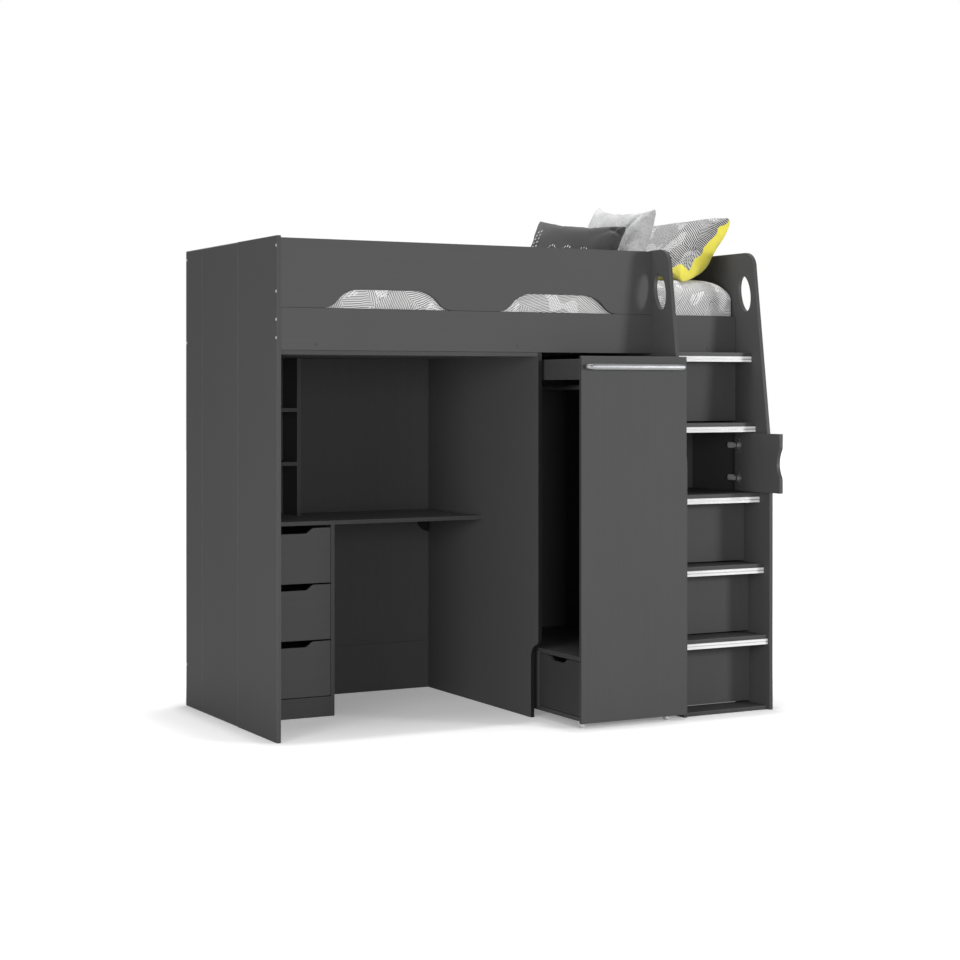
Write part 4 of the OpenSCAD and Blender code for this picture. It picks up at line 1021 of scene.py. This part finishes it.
studio = dict(
    floorColour=(0.90, 0.90, 0.90), floorBounce=(0.42, 0.42, 0.42), floorHalf=30, worldLight=0.27,
    # the floor's own glow under the bed and beside it, and over what distances it grows to white
    floorGlow=(0.22, 0.43), floorNear=0.10, floorFar=(0.12, 0.60),
    bedOn=((-0.98, 0.98), (-0.31, 0.62)), stairOn=((0.08, 0.97), (-0.57, -0.31)), lampAim=(1150, 100, 1000),
    lamps=(
        # name, degrees round from the front towards the stairs, distance, height, size, power
        ("keyLight", 40.0, 6.0, 1.6, 1.15, 156.0),
        ("frontFill", -18.0, 6.8, 1.35, 2.6, 146.0),
        ("leftFill", -58.0, 5.6, 1.4, 2.0, 110.0),
        ("topFill", 180.0, 0.5, 4.8, 3.0, 175.0),
    ),
)


def shownDirectly(tree):
    # 1 for rays from the camera, and for those mirrored or passed on by metal and clear plastic
    path = addNode(tree, "ShaderNodeLightPath", {}).outputs
    seen = calc(tree, "MAXIMUM", path["Is Camera Ray"], path["Is Glossy Ray"])
    return calc(tree, "MAXIMUM", seen, path["Is Transmission Ray"])


def floorDistance(tree, wide, deep):
    # how far a point of the floor lies outside a rectangle
    split = addNode(tree, "ShaderNodeSeparateXYZ", {"Vector": objectPlace(tree)})
    squares = []
    for socket, (low, high) in zip(split.outputs, (wide, deep)):
        far = calc(tree, "ABSOLUTE", calc(tree, "SUBTRACT", socket, (low + high) / 2))
        outside = calc(tree, "MAXIMUM", calc(tree, "SUBTRACT", far, (high - low) / 2), 0.0)
        squares.append(calc(tree, "POWER", outside, 2.0))
    return calc(tree, "SQRT", calc(tree, "ADD", *squares))


def eased(tree, value, fromLow, fromHigh, toLow, toHigh):
    return addNode(tree, "ShaderNodeMapRange", {
        "Value": value, "From Min": fromLow, "From Max": fromHigh, "To Min": toLow, "To Max": toHigh},
        interpolation_type="SMOOTHSTEP").outputs[0]


def makeFloor():
    mat, tree, bsdf = startMaterial("studio floor")
    seen = shownDirectly(tree)
    # white a short way off the footprint, so that only the shadow by the bed shows
    away = calc(tree, "MINIMUM", floorDistance(tree, *studio["bedOn"]), floorDistance(tree, *studio["stairOn"]))
    low, high = studio["floorGlow"]
    near = eased(tree, away, 0.0, studio["floorNear"], low, high)
    far = eased(tree, away, *studio["floorFar"], 0.0, 1.0 - high)
    feed(tree, bsdf, {
        "Base Color": mixColour(tree, seen, studio["floorBounce"], studio["floorColour"]),
        "Roughness": 0.9, "Specular IOR Level": 0.1,
        "Emission Strength": calc(tree, "MULTIPLY", seen, calc(tree, "ADD", near, far))})
    s = studio["floorHalf"]
    floor = addMesh("studioFloor", [(-s, -s, 0), (s, -s, 0), (s, s, 0), (-s, s, 0)], [(0, 1, 2, 3)], [mat])


def makeWorld():
    world = bpy.data.worlds.new("studioWorld")
    scene.world = world
    world.use_nodes = True
    tree = world.node_tree
    plain = studio["worldLight"]
    feed(tree, tree.nodes["Background"], {
        "Color": (1, 1, 1, 1),
        "Strength": calc(tree, "MULTIPLY_ADD", shownDirectly(tree), 1.0 - plain, plain)})


def makeLights():
    target = bedPoint(*studio["lampAim"])
    for name, turn, reach, height, size, power in studio["lamps"]:
        a = radians(turn)
        spot = target + Vector((sin(a), -cos(a), 0)) * reach
        spot.z = height
        light = bpy.data.lights.new(name, "AREA")
        light.energy = power
        light.shape = "DISK"
        light.size = size
        obj = addObject(name, light)
        obj.location = spot
        obj.rotation_euler = (target - spot).to_track_quat("-Z", "Y").to_euler()
        obj.visible_camera = False


# solved from edge points of the photo: place in bed millimetres, turn in degrees, horizon in picture rows
photoView = dict(place=(-2604.78, -6365.28, 1237.94), turn=-28.15, horizon=387.89, picture=960, lens=73.73, far=100)


def makeCamera(c):
    camera = bpy.data.cameras.new("photoCamera")
    camera.lens = c["lens"]
    camera.shift_y = (c["horizon"] - c["picture"] / 2) / c["picture"]
    camera.clip_end = c["far"]
    obj = addObject("photoCamera", camera)
    obj.location = bedPoint(*c["place"])
    obj.rotation_euler = (radians(90), 0, radians(c["turn"]))
    return obj


makeFloor()
makeWorld()
makeLights()
scene.camera = makeCamera(photoView)
scene.view_settings.view_transform = "Standard"
print("studio ready")
